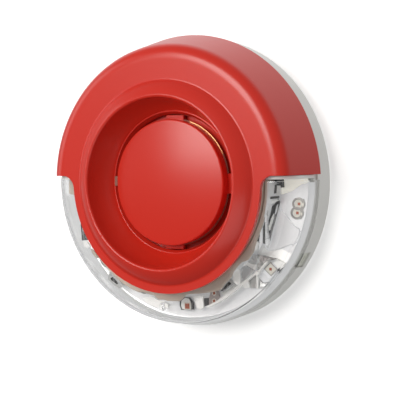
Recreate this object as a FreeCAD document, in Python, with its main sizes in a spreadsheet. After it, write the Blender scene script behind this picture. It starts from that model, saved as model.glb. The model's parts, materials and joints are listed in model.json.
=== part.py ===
import FreeCAD, Part
import math
import os
import Sketcher
from FreeCAD import Vector, Placement, Rotation

# Wall-mounted sounder beacon (horn and strobe in one round housing).
# Frame: origin at the centre of the rear mounting face, +Z up, +X to the
# right seen from the front, +Y into the wall. "Depth" d below is the distance
# in front of the wall, so a point at depth d has y = -d. Units: millimetres.

os.makedirs("parts", exist_ok=True)
doc = FreeCAD.newDocument("sounder_beacon")

# ---------------------------------------------------------------- dimensions
sheet = doc.addObject("Spreadsheet::Sheet", "dims")
DIMS = [
    # base
    ("base_rad", 65.4), ("base_front_rad", 65.1), ("base_depth", 11.2), ("base_wall", 2.2),
    ("base_floor", 2.4), ("entry_rad", 11.0), ("fix_pitch", 60.0), ("fix_rad", 2.25),
    ("lug_width", 9.0), ("base_lug_back", 8.2), ("base_lug_front", 10.0), ("base_lug_rad", 61.4),
    ("notch_angle", -32.0), ("notch_width", 8.0), ("notch_back", 3.6),
    # head chassis
    ("skirt_rad", 61.0), ("skirt_wall", 1.8), ("skirt_back", 3.0),
    ("plate_back", 10.4), ("plate_front", 12.4), ("flange_rad", 64.4), ("flange_back", 11.65), ("flange_front", 13.4),
    ("head_lug_back", 5.6), ("head_lug_front", 7.6), ("head_lug_rad", 62.55),
    # boards
    ("board_back", 14.0), ("board_front", 15.6), ("board_rad", 45.6),
    ("led_front", 15.2), ("led_in_rad", 48.6), ("led_out_rad", 62.2),
    # red cover and horn
    ("hood_back", 11.65), ("hood_back_rad", 66.9), ("hood_rad", 61.6), ("front", 36.15), ("shell", 2.0),
    ("shoulder_fillet", 6.5), ("crease_rad", 46.4), ("mouth_rad", 38.7), ("mouth", 42.15),
    ("throat_rad", 32.2), ("throat_front", 27.9), ("slot_rad", 30.8), ("slot_front", 26.3), ("throat_back", 20.0), ("shelf_back", 22.6), ("shelf_front", 24.0), ("shelf_rad", 27.4),
    ("lip_rad", 50.0), ("cut_height", 3.1), ("corner_rad", 6.0),
    # centre disc
    ("disc_rad", 28.6), ("disc_edge", 32.3), ("disc_crown", 34.0), ("disc_thick", 2.4), ("disc_back", 26.7), ("disc_wall", 2.0),
    # lens
    ("lens_rad", 64.7), ("lens_back", 13.4), ("lens_rim", 11.9), ("lens_rim_rad", 66.4), ("lens_side", 21.8), ("lens_front", 33.9), ("lens_in_rad", 47.8), ("lens_top_rad", 52.5), ("lens_wall", 1.8), ("lens_arc", 12.2), ("lens_arc_in", 10.4), ("lens_height", 1.9),
    # separating ring
    ("ring_in_rad", 46.0), ("ring_out_rad", 47.4), ("ring_front", 34.1),
    # reflector
    ("refl_in_rad", 48.0), ("refl_wall", 1.0), ("refl_front", 27.0), ("refl_floor_in", 18.6), ("refl_floor_out", 16.2), ("refl_out_rad", 62.4), ("refl_height", 0.6),
    # LEDs
    ("led_size", 3.0), ("led_tall", 1.4), ("die_size", 1.15), ("led_pcd_rad", 59.0), ("window_rad", 2.55),
    # driver
    ("driver_rad", 31.6), ("driver_in_rad", 29.6), ("driver_front", 21.5), ("diaphragm_rad", 30.6), ("diaphragm_thick", 0.3), ("ceramic_rad", 17.0),
]
for row, (alias, value) in enumerate(DIMS, start=1):
    sheet.set("A%d" % row, alias)
    sheet.set("B%d" % row, str(value))
    sheet.setAlias("B%d" % row, alias)
doc.recompute()
D = dict(DIMS)


def val(expr):
    return float(work_out(str(expr)))


def work_out(text):
    # Arithmetic on the sheet's names: + - * / and brackets.
    import ast
    import operator as op
    ops = {ast.Add: op.add, ast.Sub: op.sub, ast.Mult: op.mul, ast.Div: op.truediv, ast.USub: op.neg, ast.UAdd: op.pos}

    def walk(n):
        if isinstance(n, ast.Constant):
            return float(n.value)
        if isinstance(n, ast.Name):
            return float(D[n.id])
        if isinstance(n, ast.BinOp):
            return ops[type(n.op)](walk(n.left), walk(n.right))
        if isinstance(n, ast.UnaryOp):
            return ops[type(n.op)](walk(n.operand))
        raise ValueError(text)
    return walk(ast.parse(text).body[0].value)


def sheet_expr(expr, unit="mm"):
    # The same arithmetic written for the document: names become dims.NAME.
    import re
    text = re.sub(r"[A-Za-z_][A-Za-z_0-9]*", lambda w: "dims." + w.group(0), str(expr))
    return "(%s) * 1 %s" % (text, unit)


# ---------------------------------------------------------------- helpers
def new_body(label):
    body = doc.addObject("PartDesign::Body", label)
    body.Label = label
    return body


def origin_plane(body, role):
    for feature in body.Origin.OriginFeatures:
        if feature.Role == role:
            return feature
    raise RuntimeError("no plane " + role)


def arc_between(pa, pb, r, side):
    # The shorter arc of radius r from pa to pb, bulging to the left of the run
    # (side +1) or to its right (-1). Always drawn anticlockwise; the flag says
    # whether pa is its first end.
    chord = pb - pa
    half = chord.Length / 2.0
    left = Vector(-chord.y, chord.x, 0).normalize()
    c = (pa + pb) * 0.5 - left * (side * math.sqrt(r * r - half * half))
    a0 = math.atan2(pa.y - c.y, pa.x - c.x)
    a1 = math.atan2(pb.y - c.y, pb.x - c.x)
    sweep = (a1 - a0) % (2 * math.pi)
    circle = Part.Circle(c, Vector(0, 0, 1), r)
    if sweep <= math.pi:
        return Part.ArcOfCircle(circle, a0, a0 + sweep), True
    return Part.ArcOfCircle(circle, a1, a1 + 2 * math.pi - sweep), False


def sketch_loops(body, name, role, loops, offset=None):
    # loops: lists of vertices (u, v) or (u, v, arc_radius, side); the arc goes
    # from this vertex to the next, side +1 bulges to the left of the run.
    sk = body.newObject("Sketcher::SketchObject", name)
    sk.AttachmentSupport = (origin_plane(body, role), [""])
    sk.MapMode = "FlatFace"
    if offset is not None:
        sk.AttachmentOffset = Placement(Vector(0, 0, val(offset)), Rotation())
        sk.setExpression("AttachmentOffset.Base.z", sheet_expr(offset))
    for li, loop in enumerate(loops):
        if loop[0] == "circle":
            _, cu, cv, r = loop
            g = sk.addGeometry(Part.Circle(Vector(val(cu), val(cv), 0), Vector(0, 0, 1), val(r)), False)
            bind_point(sk, g, 3, cu, cv, "c%d" % li)
            k = sk.addConstraint(Sketcher.Constraint("Radius", g, val(r)))
            sk.renameConstraint(k, "rad%d" % li)
            sk.setExpression("Constraints.rad%d" % li, sheet_expr(r))
            continue
        n = len(loop)
        geo, ends = [], []
        for i in range(n):
            a, b = loop[i], loop[(i + 1) % n]
            pa, pb = Vector(val(a[0]), val(a[1]), 0), Vector(val(b[0]), val(b[1]), 0)
            if len(a) > 2:
                arc, start_first = arc_between(pa, pb, val(a[2]), a[3])
                geo.append(sk.addGeometry(arc, False))
                ends.append((1, 2) if start_first else (2, 1))
            else:
                geo.append(sk.addGeometry(Part.LineSegment(pa, pb), False))
                ends.append((1, 2))
        for i in range(n):
            j = (i + 1) % n
            sk.addConstraint(Sketcher.Constraint("Coincident", geo[i], ends[i][1], geo[j], ends[j][0]))
        for i in range(n):
            bind_point(sk, geo[i], ends[i][0], loop[i][0], loop[i][1], "p%d_%d" % (li, i))
            if len(loop[i]) > 4:
                # a spherical cap: its centre stays on the axis of turning
                sk.addConstraint(Sketcher.Constraint("PointOnObject", geo[i], 3, -2))
            elif len(loop[i]) > 2:
                k = sk.addConstraint(Sketcher.Constraint("Radius", geo[i], val(loop[i][2])))
                sk.renameConstraint(k, "arc%d_%d" % (li, i))
                sk.setExpression("Constraints.arc%d_%d" % (li, i), sheet_expr(loop[i][2]))
    return sk


def bind_point(sk, g, pos, cu, cv, tag):
    for kind, expr, axis in (("DistanceX", cu, -2), ("DistanceY", cv, -1)):
        v = val(expr)
        if abs(v) < 1e-9:
            sk.addConstraint(Sketcher.Constraint("PointOnObject", g, pos, axis))
            continue
        k = sk.addConstraint(Sketcher.Constraint(kind, -1, 1, g, pos, v))
        cname = "%s%s" % ("x" if kind == "DistanceX" else "y", tag)
        sk.renameConstraint(k, cname)
        sk.setExpression("Constraints." + cname, sheet_expr(expr))


def revolve(body, name, loops):
    # Profile drawn in the XY plane (u = radius, v = -depth), turned about Y.
    sk = sketch_loops(body, name + "_profile", "XY_Plane", loops)
    feat = body.newObject("PartDesign::Revolution", name)
    feat.Profile = sk
    feat.ReferenceAxis = (sk, ["V_Axis"])
    feat.Angle = 360.0
    doc.recompute()
    return feat


def groove(body, name, loops):
    before = body.Shape.Volume
    sk = sketch_loops(body, name + "_profile", "XY_Plane", loops)
    feat = body.newObject("PartDesign::Groove", name)
    feat.Profile = sk
    feat.ReferenceAxis = (sk, ["V_Axis"])
    feat.Angle = 360.0
    doc.recompute()
    if body.Shape.Volume >= before - 1e-6:
        raise RuntimeError(name + " cut nothing")
    return feat


def pocket(body, name, loops, back, front):
    # Cut from depth `back` to depth `front`, drawn in the XZ plane.
    # The XZ plane's normal is -Y, so the offset is the depth itself.
    before = body.Shape.Volume
    sk = sketch_loops(body, name + "_outline", "XZ_Plane", loops, back)
    feat = body.newObject("PartDesign::Pocket", name)
    feat.Profile = sk
    feat.Type = 0
    feat.Length = val("(%s)-(%s)" % (front, back))
    feat.setExpression("Length", sheet_expr("(%s)-(%s)" % (front, back)))
    feat.Reversed = True
    doc.recompute()
    if body.Shape.Volume >= before - 1e-6:
        feat.Reversed = False
        doc.recompute()
    if body.Shape.Volume >= before - 1e-6:
        raise RuntimeError(name + " cut nothing")
    return feat


def pad(body, name, loops, back, front):
    # Add material from depth `back` to depth `front`, drawn in the XZ plane.
    sk = sketch_loops(body, name + "_outline", "XZ_Plane", loops, back)
    feat = body.newObject("PartDesign::Pad", name)
    feat.Profile = sk
    feat.Length = val("(%s)-(%s)" % (front, back))
    feat.setExpression("Length", sheet_expr("(%s)-(%s)" % (front, back)))
    doc.recompute()
    want = -(val(back) + val(front)) / 2.0

    def middle():
        # a first feature keeps its own placement, so its whole shape is read
        bb = feat.Shape.BoundBox if feat.BaseFeature is None else feat.AddSubShape.BoundBox
        return (bb.YMin + bb.YMax) / 2.0
    if abs(middle() - want) > 0.3:
        feat.Reversed = True
        doc.recompute()
        if abs(middle() - want) > 0.3:
            raise RuntimeError("%s stands at %.2f, not %.2f" % (name, middle(), want))
    return feat


def polar(body, name, feature, angle, count):
    feat = body.newObject("PartDesign::PolarPattern", name)
    feat.Originals = [feature]
    axis = [f for f in body.Origin.OriginFeatures if f.Role == "Y_Axis"][0]
    feat.Axis = (axis, [""])
    feat.Angle = angle
    feat.Occurrences = count
    body.Tip = feat
    doc.recompute()
    return feat


def sector(r_in, r_out, a0, a1, rel=8):
    # Closed outline of a ring sector by short chords, as numbers.
    pts = []
    for i in range(rel + 1):
        t = math.radians(a0 + (a1 - a0) * i / rel)
        pts.append((round(r_out * math.cos(t), 4), round(r_out * math.sin(t), 4)))
    for i in range(rel, -1, -1):
        t = math.radians(a0 + (a1 - a0) * i / rel)
        pts.append((round(r_in * math.cos(t), 4), round(r_in * math.sin(t), 4)))
    return pts


def rect(u0, u1, v0, v1):
    return [(u0, v0), (u1, v0), (u1, v1), (u0, v1)]


def turned_rect(cx, cz, w, hgt, deg):
    t = math.radians(deg)
    pts = []
    for a, b in ((-w / 2, -hgt / 2), (w / 2, -hgt / 2), (w / 2, hgt / 2), (-w / 2, hgt / 2)):
        pts.append((round(cx + a * math.cos(t) - b * math.sin(t), 4), round(cz + a * math.sin(t) + b * math.cos(t), 4)))
    return pts


def ring_at(rad, deg):
    t = math.radians(deg)
    return rad * math.cos(t), rad * math.sin(t)


def box(name, x0, x1, d0, d1, z0, z1, about=None):
    # A block from depth d0 to d1; `about` turns it about the Y axis (degrees,
    # anticlockwise seen from the front).
    b = doc.addObject("Part::Box", name)
    for prop, lo, hi in (("Length", x0, x1), ("Width", d0, d1), ("Height", z0, z1)):
        e = "(%s)-(%s)" % (hi, lo)
        setattr(b, prop, val(e))
        b.setExpression(prop, sheet_expr(e))
    pos = Vector(val(x0), -val(d1), val(z0))
    if about is None:
        b.Placement = Placement(pos, Rotation())
        b.setExpression("Placement.Base.x", sheet_expr(x0))
        b.setExpression("Placement.Base.y", sheet_expr("0-(%s)" % d1))
        b.setExpression("Placement.Base.z", sheet_expr(z0))
    else:
        rot = Rotation(Vector(0, 1, 0), -about)
        b.Placement = Placement(rot.multVec(pos), rot)
    return b


def cyl(name, cx, cz, rad, d0, d1):
    # A pin along Y from depth d0 to depth d1.
    c = doc.addObject("Part::Cylinder", name)
    c.Radius = val(rad)
    c.setExpression("Radius", sheet_expr(rad))
    e = "(%s)-(%s)" % (d1, d0)
    c.Height = val(e)
    c.setExpression("Height", sheet_expr(e))
    c.Placement = Placement(Vector(val(cx), -val(d0), val(cz)), Rotation(Vector(1, 0, 0), 90))
    return c


def cut(name, base, tools):
    if len(tools) == 1:
        tool = tools[0]
    else:
        tool = doc.addObject("Part::Compound", name + "_tools")
        tool.Links = tools
    c = doc.addObject("Part::Cut", name)
    c.Base = base
    c.Tool = tool
    return c


def fuse(name, items):
    f = doc.addObject("Part::MultiFuse", name)
    f.Shapes = items
    return f


def group(name, items):
    g = doc.addObject("Part::Compound", name)
    g.Links = items
    g.Label = name
    return g


NODES = []


def keep(obj, label):
    obj.Label = label
    NODES.append((label, obj))
    return obj


# ================================================================ base
# Shallow dish that is screwed to the wall or box.
base = new_body("mounting_base")
revolve(base, "base_dish", [[
    ("entry_rad", "0"), ("base_rad-0.6", "0"), ("base_rad", "-0.6"), ("base_front_rad", "-base_depth"),
    ("base_front_rad-base_wall", "-base_depth"), ("base_front_rad-base_wall", "-base_floor"), ("entry_rad", "-base_floor")]])
# Four fixing holes.
pocket(base, "fixing_holes", [["circle", "fix_pitch/2", "fix_pitch/2", "fix_rad"], ["circle", "0-fix_pitch/2", "fix_pitch/2", "fix_rad"],
                              ["circle", "fix_pitch/2", "0-fix_pitch/2", "fix_rad"], ["circle", "0-fix_pitch/2", "0-fix_pitch/2", "fix_rad"]], "0", "base_floor")
# Three inward bayonet lugs.
LUGS = (60.0, 180.0, 285.0)
half_lug = D["lug_width"] / 2.0
for i, ang in enumerate(LUGS):
    pad(base, "base_lug_%d" % (i + 1), [sector(D["base_lug_rad"], 63.6, ang - half_lug, ang + half_lug)], "base_lug_back", "base_lug_front")
# Window for the release tool, open to the front edge.
nx, nz = ring_at(64.6, D["notch_angle"])
pocket(base, "release_window", [turned_rect(nx, nz, 6.0, D["notch_width"], D["notch_angle"])], "notch_back", "base_depth+1")
# Two stiffening ribs and the seat posts of the terminal block.
pad(base, "block_post_left", [rect("-16", "-14.2", "17", "29")], "base_floor-0.2", "7")
pad(base, "block_post_right", [rect("14.2", "16", "17", "29")], "base_floor-0.2", "7")
keep(base, "mounting_base")

# Rubber grommet in the cable entry.
grommet = new_body("cable_grommet")
revolve(grommet, "grommet_ring", [[("6", "0"), ("entry_rad", "0"), ("entry_rad", "-base_floor"), ("entry_rad+2.2", "-base_floor"),
                                   ("entry_rad+2.2", "-base_floor-1.2"), ("9.4", "-base_floor-1.8"), ("6", "-base_floor-1.8")]])
keep(grommet, "cable_grommet")

# Five-way terminal block with its screws and clamp plates.
blk = box("block_solid", "-14.2", "14.2", "base_floor", "9.9", "18", "28")
ways = [-10.8, -5.4, 0.0, 5.4, 10.8]
tools = []
for i, wx in enumerate(ways):
    tools.append(cyl("block_well_%d" % i, wx, 24.4, "2.2", "4.6", "10.4"))
    tools.append(box("block_mouth_%d" % i, "%s-2.0" % wx, "%s+2.0" % wx, "4.6", "8.2", "17", "22.6"))
block = cut("terminal_block", blk, tools)
keep(block, "terminal_block")
scr = []
clamps = []
for i, wx in enumerate(ways):
    head = cyl("term_head_%d" % i, wx, 24.4, "2.0", "7.4", "9.6")
    slot = box("term_slot_%d" % i, "%s-0.35" % wx, "%s+0.35" % wx, "8.8", "9.8", "22", "26.8")
    cuts = cut("term_cut_%d" % i, head, [slot])
    shank = cyl("term_shank_%d" % i, wx, 24.4, "1.1", "4.6", "7.5")
    scr.append(fuse("term_screw_%d" % i, [cuts, shank]))
    plate = box("clamp_plate_%d" % i, "%s-1.8" % wx, "%s+1.8" % wx, "6.2", "7.0", "18.2", "22.5")
    clamps.append(plate)
keep(group("terminal_screws", scr), "terminal_screws")
keep(group("terminal_clamps", clamps), "terminal_clamps")

# Four bent contact leaves, fixed at the floor and rising to the head.
CONTACTS = (205.0, 240.0, 300.0, 335.0)
leaves = []
for i, ang in enumerate(CONTACTS):
    # strip profile along the radius: foot, riser and rounded contact top
    pts = [(16.0, 2.4), (24.0, 2.4), (27.6, 9.4), (26.0, 10.1), (23.6, 9.6), (23.8, 9.1), (26.0, 9.55), (26.8, 9.2), (23.6, 2.9), (16.0, 2.9)]
    vs = [Vector(p[0], -p[1], -2.0) for p in pts]
    wire = Part.makePolygon(vs + [vs[0]])
    leaf = doc.addObject("Part::Feature", "leaf_%d" % i)
    leaf.Shape = Part.Face(wire).extrude(Vector(0, 0, 4.0))
    leaf.Placement = Placement(Vector(0, 0, 0), Rotation(Vector(0, 1, 0), -ang))
    leaves.append(leaf)
keep(group("contact_springs", leaves), "contact_springs")

# ================================================================ catch
# Plastic release catch, pressed inwards through the window in the base.
na = D["notch_angle"]
btn = box("catch_button", "61.6", "64.5", "4.2", "8.0", "-3.6", "3.6", about=na)
stop = box("catch_stop", "61.5", "62.3", "4.2", "8.0", "-4.8", "4.8", about=na)
tooth = box("catch_tooth", "58.6", "61.7", "4.6", "7.6", "-2.6", "2.6", about=na)
dimple = box("catch_dimple", "64.0", "65.0", "5.6", "6.6", "-2.2", "2.2", about=na)
catch = cut("locking_catch", fuse("catch_solid", [btn, stop, tooth]), [dimple])
keep(catch, "locking_catch")

# ================================================================ head chassis
ch = new_body("head_chassis")
revolve(ch, "chassis_dish", [[
    ("0", "-plate_back"), ("skirt_rad-skirt_wall", "-plate_back"), ("skirt_rad-skirt_wall", "-skirt_back"), ("skirt_rad", "-skirt_back"),
    ("skirt_rad", "-flange_back"), ("flange_rad", "-flange_back"), ("flange_rad", "-flange_front"), ("skirt_rad-1.5", "-flange_front"),
    ("skirt_rad-1.5", "-plate_front"), ("0", "-plate_front")]])
for i, ang in enumerate(LUGS):
    pad(ch, "head_lug_%d" % (i + 1), [sector(D["skirt_rad"] - 0.6, D["head_lug_rad"], ang - half_lug, ang + half_lug)], "head_lug_back", "head_lug_front")
# Board posts: three for the main board, and low ribs under the LED board.
POSTS = (45.0, 165.0, 285.0)
pad(ch, "board_posts", [["circle", round(ring_at(41.5, a)[0], 4), round(ring_at(41.5, a)[1], 4), "2.6"] for a in POSTS], "plate_front-0.3", "board_back")
LEDPOSTS = (-4.0, -26.0, -57.0, -90.0, -123.0, -154.0, -176.0)
pad(ch, "led_posts", [["circle", round(ring_at(55.0, a)[0], 4), round(ring_at(55.0, a)[1], 4), "2.0"] for a in LEDPOSTS], "plate_front-0.3", "board_back")
# Relief in the skirt for the catch tooth over the whole turn.
pocket(ch, "catch_relief", [sector(57.0, 63.5, na - 21.0, na + 6.0)], "skirt_back-1", "9.2")
# Screw holes for the cover, pilot holes in the posts, contact holes, switch window.
COVERSCREWS = (32.0, 90.0, 148.0)
pocket(ch, "cover_holes", [["circle", round(ring_at(55.0, a)[0], 4), round(ring_at(55.0, a)[1], 4), "1.6"] for a in COVERSCREWS], "plate_back-0.5", "plate_front+0.5")
pocket(ch, "post_holes", [["circle", round(ring_at(41.5, a)[0], 4), round(ring_at(41.5, a)[1], 4), "1.0"] for a in POSTS], "plate_back-0.5", "board_back+0.5")
pocket(ch, "pad_holes", [["circle", round(ring_at(25.5, a)[0], 4), round(ring_at(25.5, a)[1], 4), "2.4"] for a in CONTACTS], "plate_back-0.5", "plate_front+0.5")
pocket(ch, "switch_window", [rect("-6.6", "6.6", "-36.6", "-29.4")], "plate_back-0.5", "plate_front+0.5")
keep(ch, "head_chassis")

# Foam dust seal on the back of the flange.
seal = new_body("dust_seal")
revolve(seal, "seal_ring", [[("skirt_rad+0.1", "-10.6"), ("62.6", "-10.6"), ("62.6", "-flange_back"), ("skirt_rad+0.1", "-flange_back")]])
keep(seal, "dust_seal")

# Brass contact pads through the chassis plate up to the board.
pads = []
for i, a in enumerate(CONTACTS):
    x, z = ring_at(25.5, a)
    pads.append(fuse("pad_%d" % i, [cyl("pad_face_%d" % i, round(x, 4), round(z, 4), "2.35", "plate_back", "plate_front"),
                                    cyl("pad_pin_%d" % i, round(x, 4), round(z, 4), "0.8", "plate_front-0.2", "board_back")]))
keep(group("contact_pads", pads), "contact_pads")

# ---------------------------------------------------------------- main board
mb = new_body("main_board")
pad(mb, "board_plate", [["circle", "0", "0", "board_rad"]], "board_back", "board_front")
pocket(mb, "board_holes", [["circle", round(ring_at(41.5, a)[0], 4), round(ring_at(41.5, a)[1], 4), "1.3"] for a in POSTS], "board_back-0.5", "board_front+0.5")
keep(mb, "main_board")

scr = []
for i, a in enumerate(POSTS):
    x, z = [round(v, 4) for v in ring_at(41.5, a)]
    hd = cyl("bs_head_%d" % i, x, z, "2.3", "board_front", "board_front+1.5")
    sl = box("bs_slot_a%d" % i, "%s-1.3" % x, "%s+1.3" % x, "board_front+0.8", "board_front+1.7", "%s-0.25" % z, "%s+0.25" % z)
    sl2 = box("bs_slot_b%d" % i, "%s-0.25" % x, "%s+0.25" % x, "board_front+0.8", "board_front+1.7", "%s-1.3" % z, "%s+1.3" % z)
    sh = cyl("bs_shank_%d" % i, x, z, "0.95", "11.0", "board_front+0.1")
    scr.append(fuse("board_screw_%d" % i, [cut("bs_cut_%d" % i, hd, [sl, sl2]), sh]))
keep(group("board_screws", scr), "board_screws")

# Electrolytic capacitors standing on the board beside the throat.
caps = []
for i, (a, r, hgt) in enumerate(((68.0, 4.8, 11.0), (112.0, 4.8, 11.0), (200.0, 3.2, 9.0))):
    x, z = [round(v, 4) for v in ring_at(40.1, a)]
    c = doc.addObject("Part::Cylinder", "cap_can_%d" % i)
    c.Radius = r
    c.Height = hgt
    c.Placement = Placement(Vector(x, -D["board_front"], z), Rotation(Vector(1, 0, 0), 90))
    f = doc.addObject("Part::Fillet", "cap_round_%d" % i)
    f.Base = c
    doc.recompute()
    edges = [k + 1 for k, e in enumerate(c.Shape.Edges) if e.Curve.TypeId == "Part::GeomCircle"]
    f.Edges = [(k, 0.5, 0.5) for k in edges]
    caps.append(f)
keep(group("capacitors", caps), "capacitors")

# Step-up transformer: ferrite core with its winding, standing by the throat.
tx, tz = ring_at(40.3, 135.0)
core_parts = [
    box("core_back", "35.4", "45.0", "board_front", "board_front+1.6", "-4.6", "4.6", about=135.0),
    box("core_front", "35.4", "45.0", "board_front+7.4", "board_front+9.0", "-4.6", "4.6", about=135.0),
    box("core_left", "35.4", "45.0", "board_front+1.5", "board_front+7.5", "-4.6", "-3.6", about=135.0),
    box("core_right", "35.4", "45.0", "board_front+1.5", "board_front+7.5", "3.6", "4.6", about=135.0)]
core_leg = cyl("core_leg", round(tx, 4), round(tz, 4), "1.5", "board_front+1.5", "board_front+7.5")
keep(fuse("transformer_core", core_parts + [core_leg]), "transformer_core")
wind_out = cyl("winding_out", round(tx, 4), round(tz, 4), "3.4", "board_front+1.8", "board_front+7.2")
wind_in = cyl("winding_in", round(tx, 4), round(tz, 4), "1.6", "board_front+1.6", "board_front+7.6")
keep(cut("transformer_winding", wind_out, [wind_in]), "transformer_winding")

# Integrated circuits and small chip components around the throat.
ics = []
for i, (a, w, hgt, tall) in enumerate(((20.0, 7.0, 7.0, 1.2), (255.0, 5.0, 6.2, 1.5), (315.0, 4.0, 5.0, 1.4))):
    ics.append(box("ic_%d" % i, str(40.4 - w / 2), str(40.4 + w / 2), "board_front", "board_front+%s" % tall, str(-hgt / 2), str(hgt / 2), about=a))
keep(group("ic_packages", ics), "ic_packages")
chips = []
for i, a in enumerate((2.0, 5.0, 34.0, 37.0, 84.0, 90.0, 96.0, 172.0, 176.0, 180.0, 216.0, 221.0, 238.0, 270.0, 274.0, 298.0, 330.0, 335.0)):
    r = 38.0 if i % 2 else 41.0
    chips.append(box("chip_%d" % i, str(r - 1.0), str(r + 1.0), "board_front", "board_front+0.7", "-0.6", "0.6", about=a))
keep(group("chip_components", chips), "chip_components")

# Connector that joins the LED board to the main board, across the ring.
conn = box("connector_solid", "43.2", "51.6", "board_front", "board_front+4.2", "-1.6", "3.0")
conn_slot = box("connector_slot", "44.6", "50.2", "board_front+1.4", "board_front+4.6", "0.1", "1.3")
keep(cut("board_connector", conn, [conn_slot]), "board_connector")

# DIP switch on the back of the main board, read through the chassis window.
sw = box("switch_solid", "-6.2", "6.2", "11.0", "board_back", "-36.2", "-29.8")
slots = []
SWX = (-4.05, -1.35, 1.35, 4.05)
for i, sx in enumerate(SWX):
    slots.append(box("switch_slot_%d" % i, "%s-0.95" % sx, "%s+0.95" % sx, "10.5", "12.2", "-35.2", "-30.8"))
keep(cut("dip_switch_body", sw, slots), "dip_switch_body")
for i, sx in enumerate(SWX):
    lev = box("dip_lever_%d" % (i + 1), "%s-0.6" % sx, "%s+0.6" % sx, "10.6", "11.9", "-34.7", "-32.9")
    keep(lev, "dip_lever_%d" % (i + 1))

# ---------------------------------------------------------------- LED board
lb = new_body("led_board")
pad(lb, "led_plate", [["circle", "0", "0", "led_out_rad"], ["circle", "0", "0", "led_in_rad"]], "board_back", "led_front")
pocket(lb, "led_plate_top", [rect("-70", "70", "3.2", "70")], "board_back-0.5", "led_front+0.5")
keep(lb, "led_board")

LEDS = [(59.0, -8.5), (59.0, -12.4), (58.3, -41.2), (54.6, -74.6), (57.4, -90.4), (54.6, -114.0), (58.3, -138.8), (59.0, -167.6), (59.0, -171.5)]
packs = []
dies = []
for i, (r, a) in enumerate(LEDS):
    body_ = box("led_body_%d" % i, "%s-led_size/2" % r, "%s+led_size/2" % r, "led_front", "led_front+led_tall", "0-led_size/2", "led_size/2", about=a)
    x, z = [round(v, 4) for v in ring_at(r, a)]
    cup = cyl("led_cup_%d" % i, x, z, "1.15", "led_front+led_tall-0.5", "led_front+led_tall+0.5")
    packs.append(cut("led_package_%d" % i, body_, [cup]))
    dies.append(box("led_die_%d" % i, "%s-die_size/2" % r, "%s+die_size/2" % r, "led_front+led_tall-0.5", "led_front+led_tall-0.25", "0-die_size/2", "die_size/2", about=a))
keep(group("led_packages", packs), "led_packages")
keep(group("led_dies", dies), "led_dies")

# ---------------------------------------------------------------- reflector
rf = new_body("reflector")
revolve(rf, "reflector_dish", [[
    ("refl_in_rad", "-refl_front"), ("refl_in_rad", "-refl_floor_in+refl_wall"), ("refl_out_rad", "-refl_floor_out+refl_wall"), ("refl_out_rad", "-refl_floor_out"),
    ("refl_in_rad+refl_wall", "-refl_floor_in"), ("refl_in_rad+refl_wall", "-refl_front")]])
pocket(rf, "reflector_top", [rect("-70", "70", "refl_height", "70")], "14", "28")
PIPE = (57.9, -98.2)
holes = [["circle", round(ring_at(r, a)[0], 4), round(ring_at(r, a)[1], 4), "window_rad"] for k, (r, a) in enumerate(LEDS) if k not in (1, 8)]
pocket(rf, "led_windows", holes, "14", "20")
holes = [["circle", round(ring_at(r, a)[0], 4), round(ring_at(r, a)[1], 4), "window_rad"] for k, (r, a) in enumerate(LEDS) if k in (1, 8)]
pocket(rf, "led_windows_b", holes, "14", "20")
pocket(rf, "pipe_hole", [["circle", round(ring_at(*PIPE)[0], 4), round(ring_at(*PIPE)[1], 4), "1.9"]], "14", "20")
# gap for the connector between the two boards
pocket(rf, "connector_notch", [rect("40", "53", "-2.4", "4")], "14", "20.6")
keep(rf, "reflector")

# Clear status light pipe standing on the LED board.
px, pz = [round(v, 4) for v in ring_at(*PIPE)]
rod = cyl("pipe_rod", px, pz, "1.5", "led_front", "23.4")
tip = doc.addObject("Part::Sphere", "pipe_tip")
tip.Radius = 1.9
tip.Placement = Placement(Vector(px, -23.9, pz), Rotation())
keep(fuse("light_pipe", [rod, tip]), "light_pipe")

# ---------------------------------------------------------------- clear lens
ln = new_body("clear_lens")
revolve(ln, "lens_dome", [[
    ("lens_in_rad", "-lens_front"), ("lens_in_rad", "-lens_front+lens_wall"), ("lens_top_rad", "-lens_front+lens_wall", "lens_arc_in", -1),
    ("lens_rad-lens_wall", "-lens_side"), ("lens_rad-lens_wall", "-lens_back"),
    ("lens_rim_rad-lens_wall", "-lens_back"), ("lens_rim_rad-lens_wall", "-lens_rim"), ("lens_rim_rad", "-lens_rim"),
    ("lens_rad", "-lens_side", "lens_arc", 1), ("lens_top_rad", "-lens_front")]])
pocket(ln, "lens_top", [rect("-70", "70", "lens_height", "70")], "lens_rim-1", "lens_front+1")
keep(ln, "clear_lens")

# Ring that parts the light chamber from the horn.
rg = new_body("chamber_ring")
revolve(rg, "ring_wall", [[("ring_in_rad", "-plate_front"), ("ring_in_rad", "-ring_front"), ("ring_out_rad", "-ring_front"), ("ring_out_rad", "-plate_front")]])
pocket(rg, "connector_gap", [rect("40", "54", "-2.4", "3.8")], "board_back-0.4", "board_front+5")
keep(rg, "chamber_ring")

# ---------------------------------------------------------------- red cover
rc = new_body("red_cover")
revolve(rc, "cover_shell", [[
    ("hood_back_rad", "-hood_back"), ("hood_rad", "-front"), ("crease_rad", "-front"), ("mouth_rad", "-mouth", "24", -1),
    ("throat_rad", "-throat_front"), ("slot_rad", "-slot_front"), ("slot_rad", "-shelf_front"), ("shelf_rad", "-shelf_front"), ("shelf_rad", "-shelf_back"), ("throat_rad", "-shelf_back"), ("throat_rad", "-throat_back"),
    ("throat_rad+shell", "-throat_back"), ("throat_rad+shell", "-throat_front+2.2"), ("throat_rad+3.2", "-throat_front+0.2"), ("mouth_rad+1.3", "-mouth+3.5"), ("crease_rad-0.8", "-front+shell"),
    ("hood_rad-1.7", "-front+shell"), ("hood_back_rad-1.9", "-hood_back")]])


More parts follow.
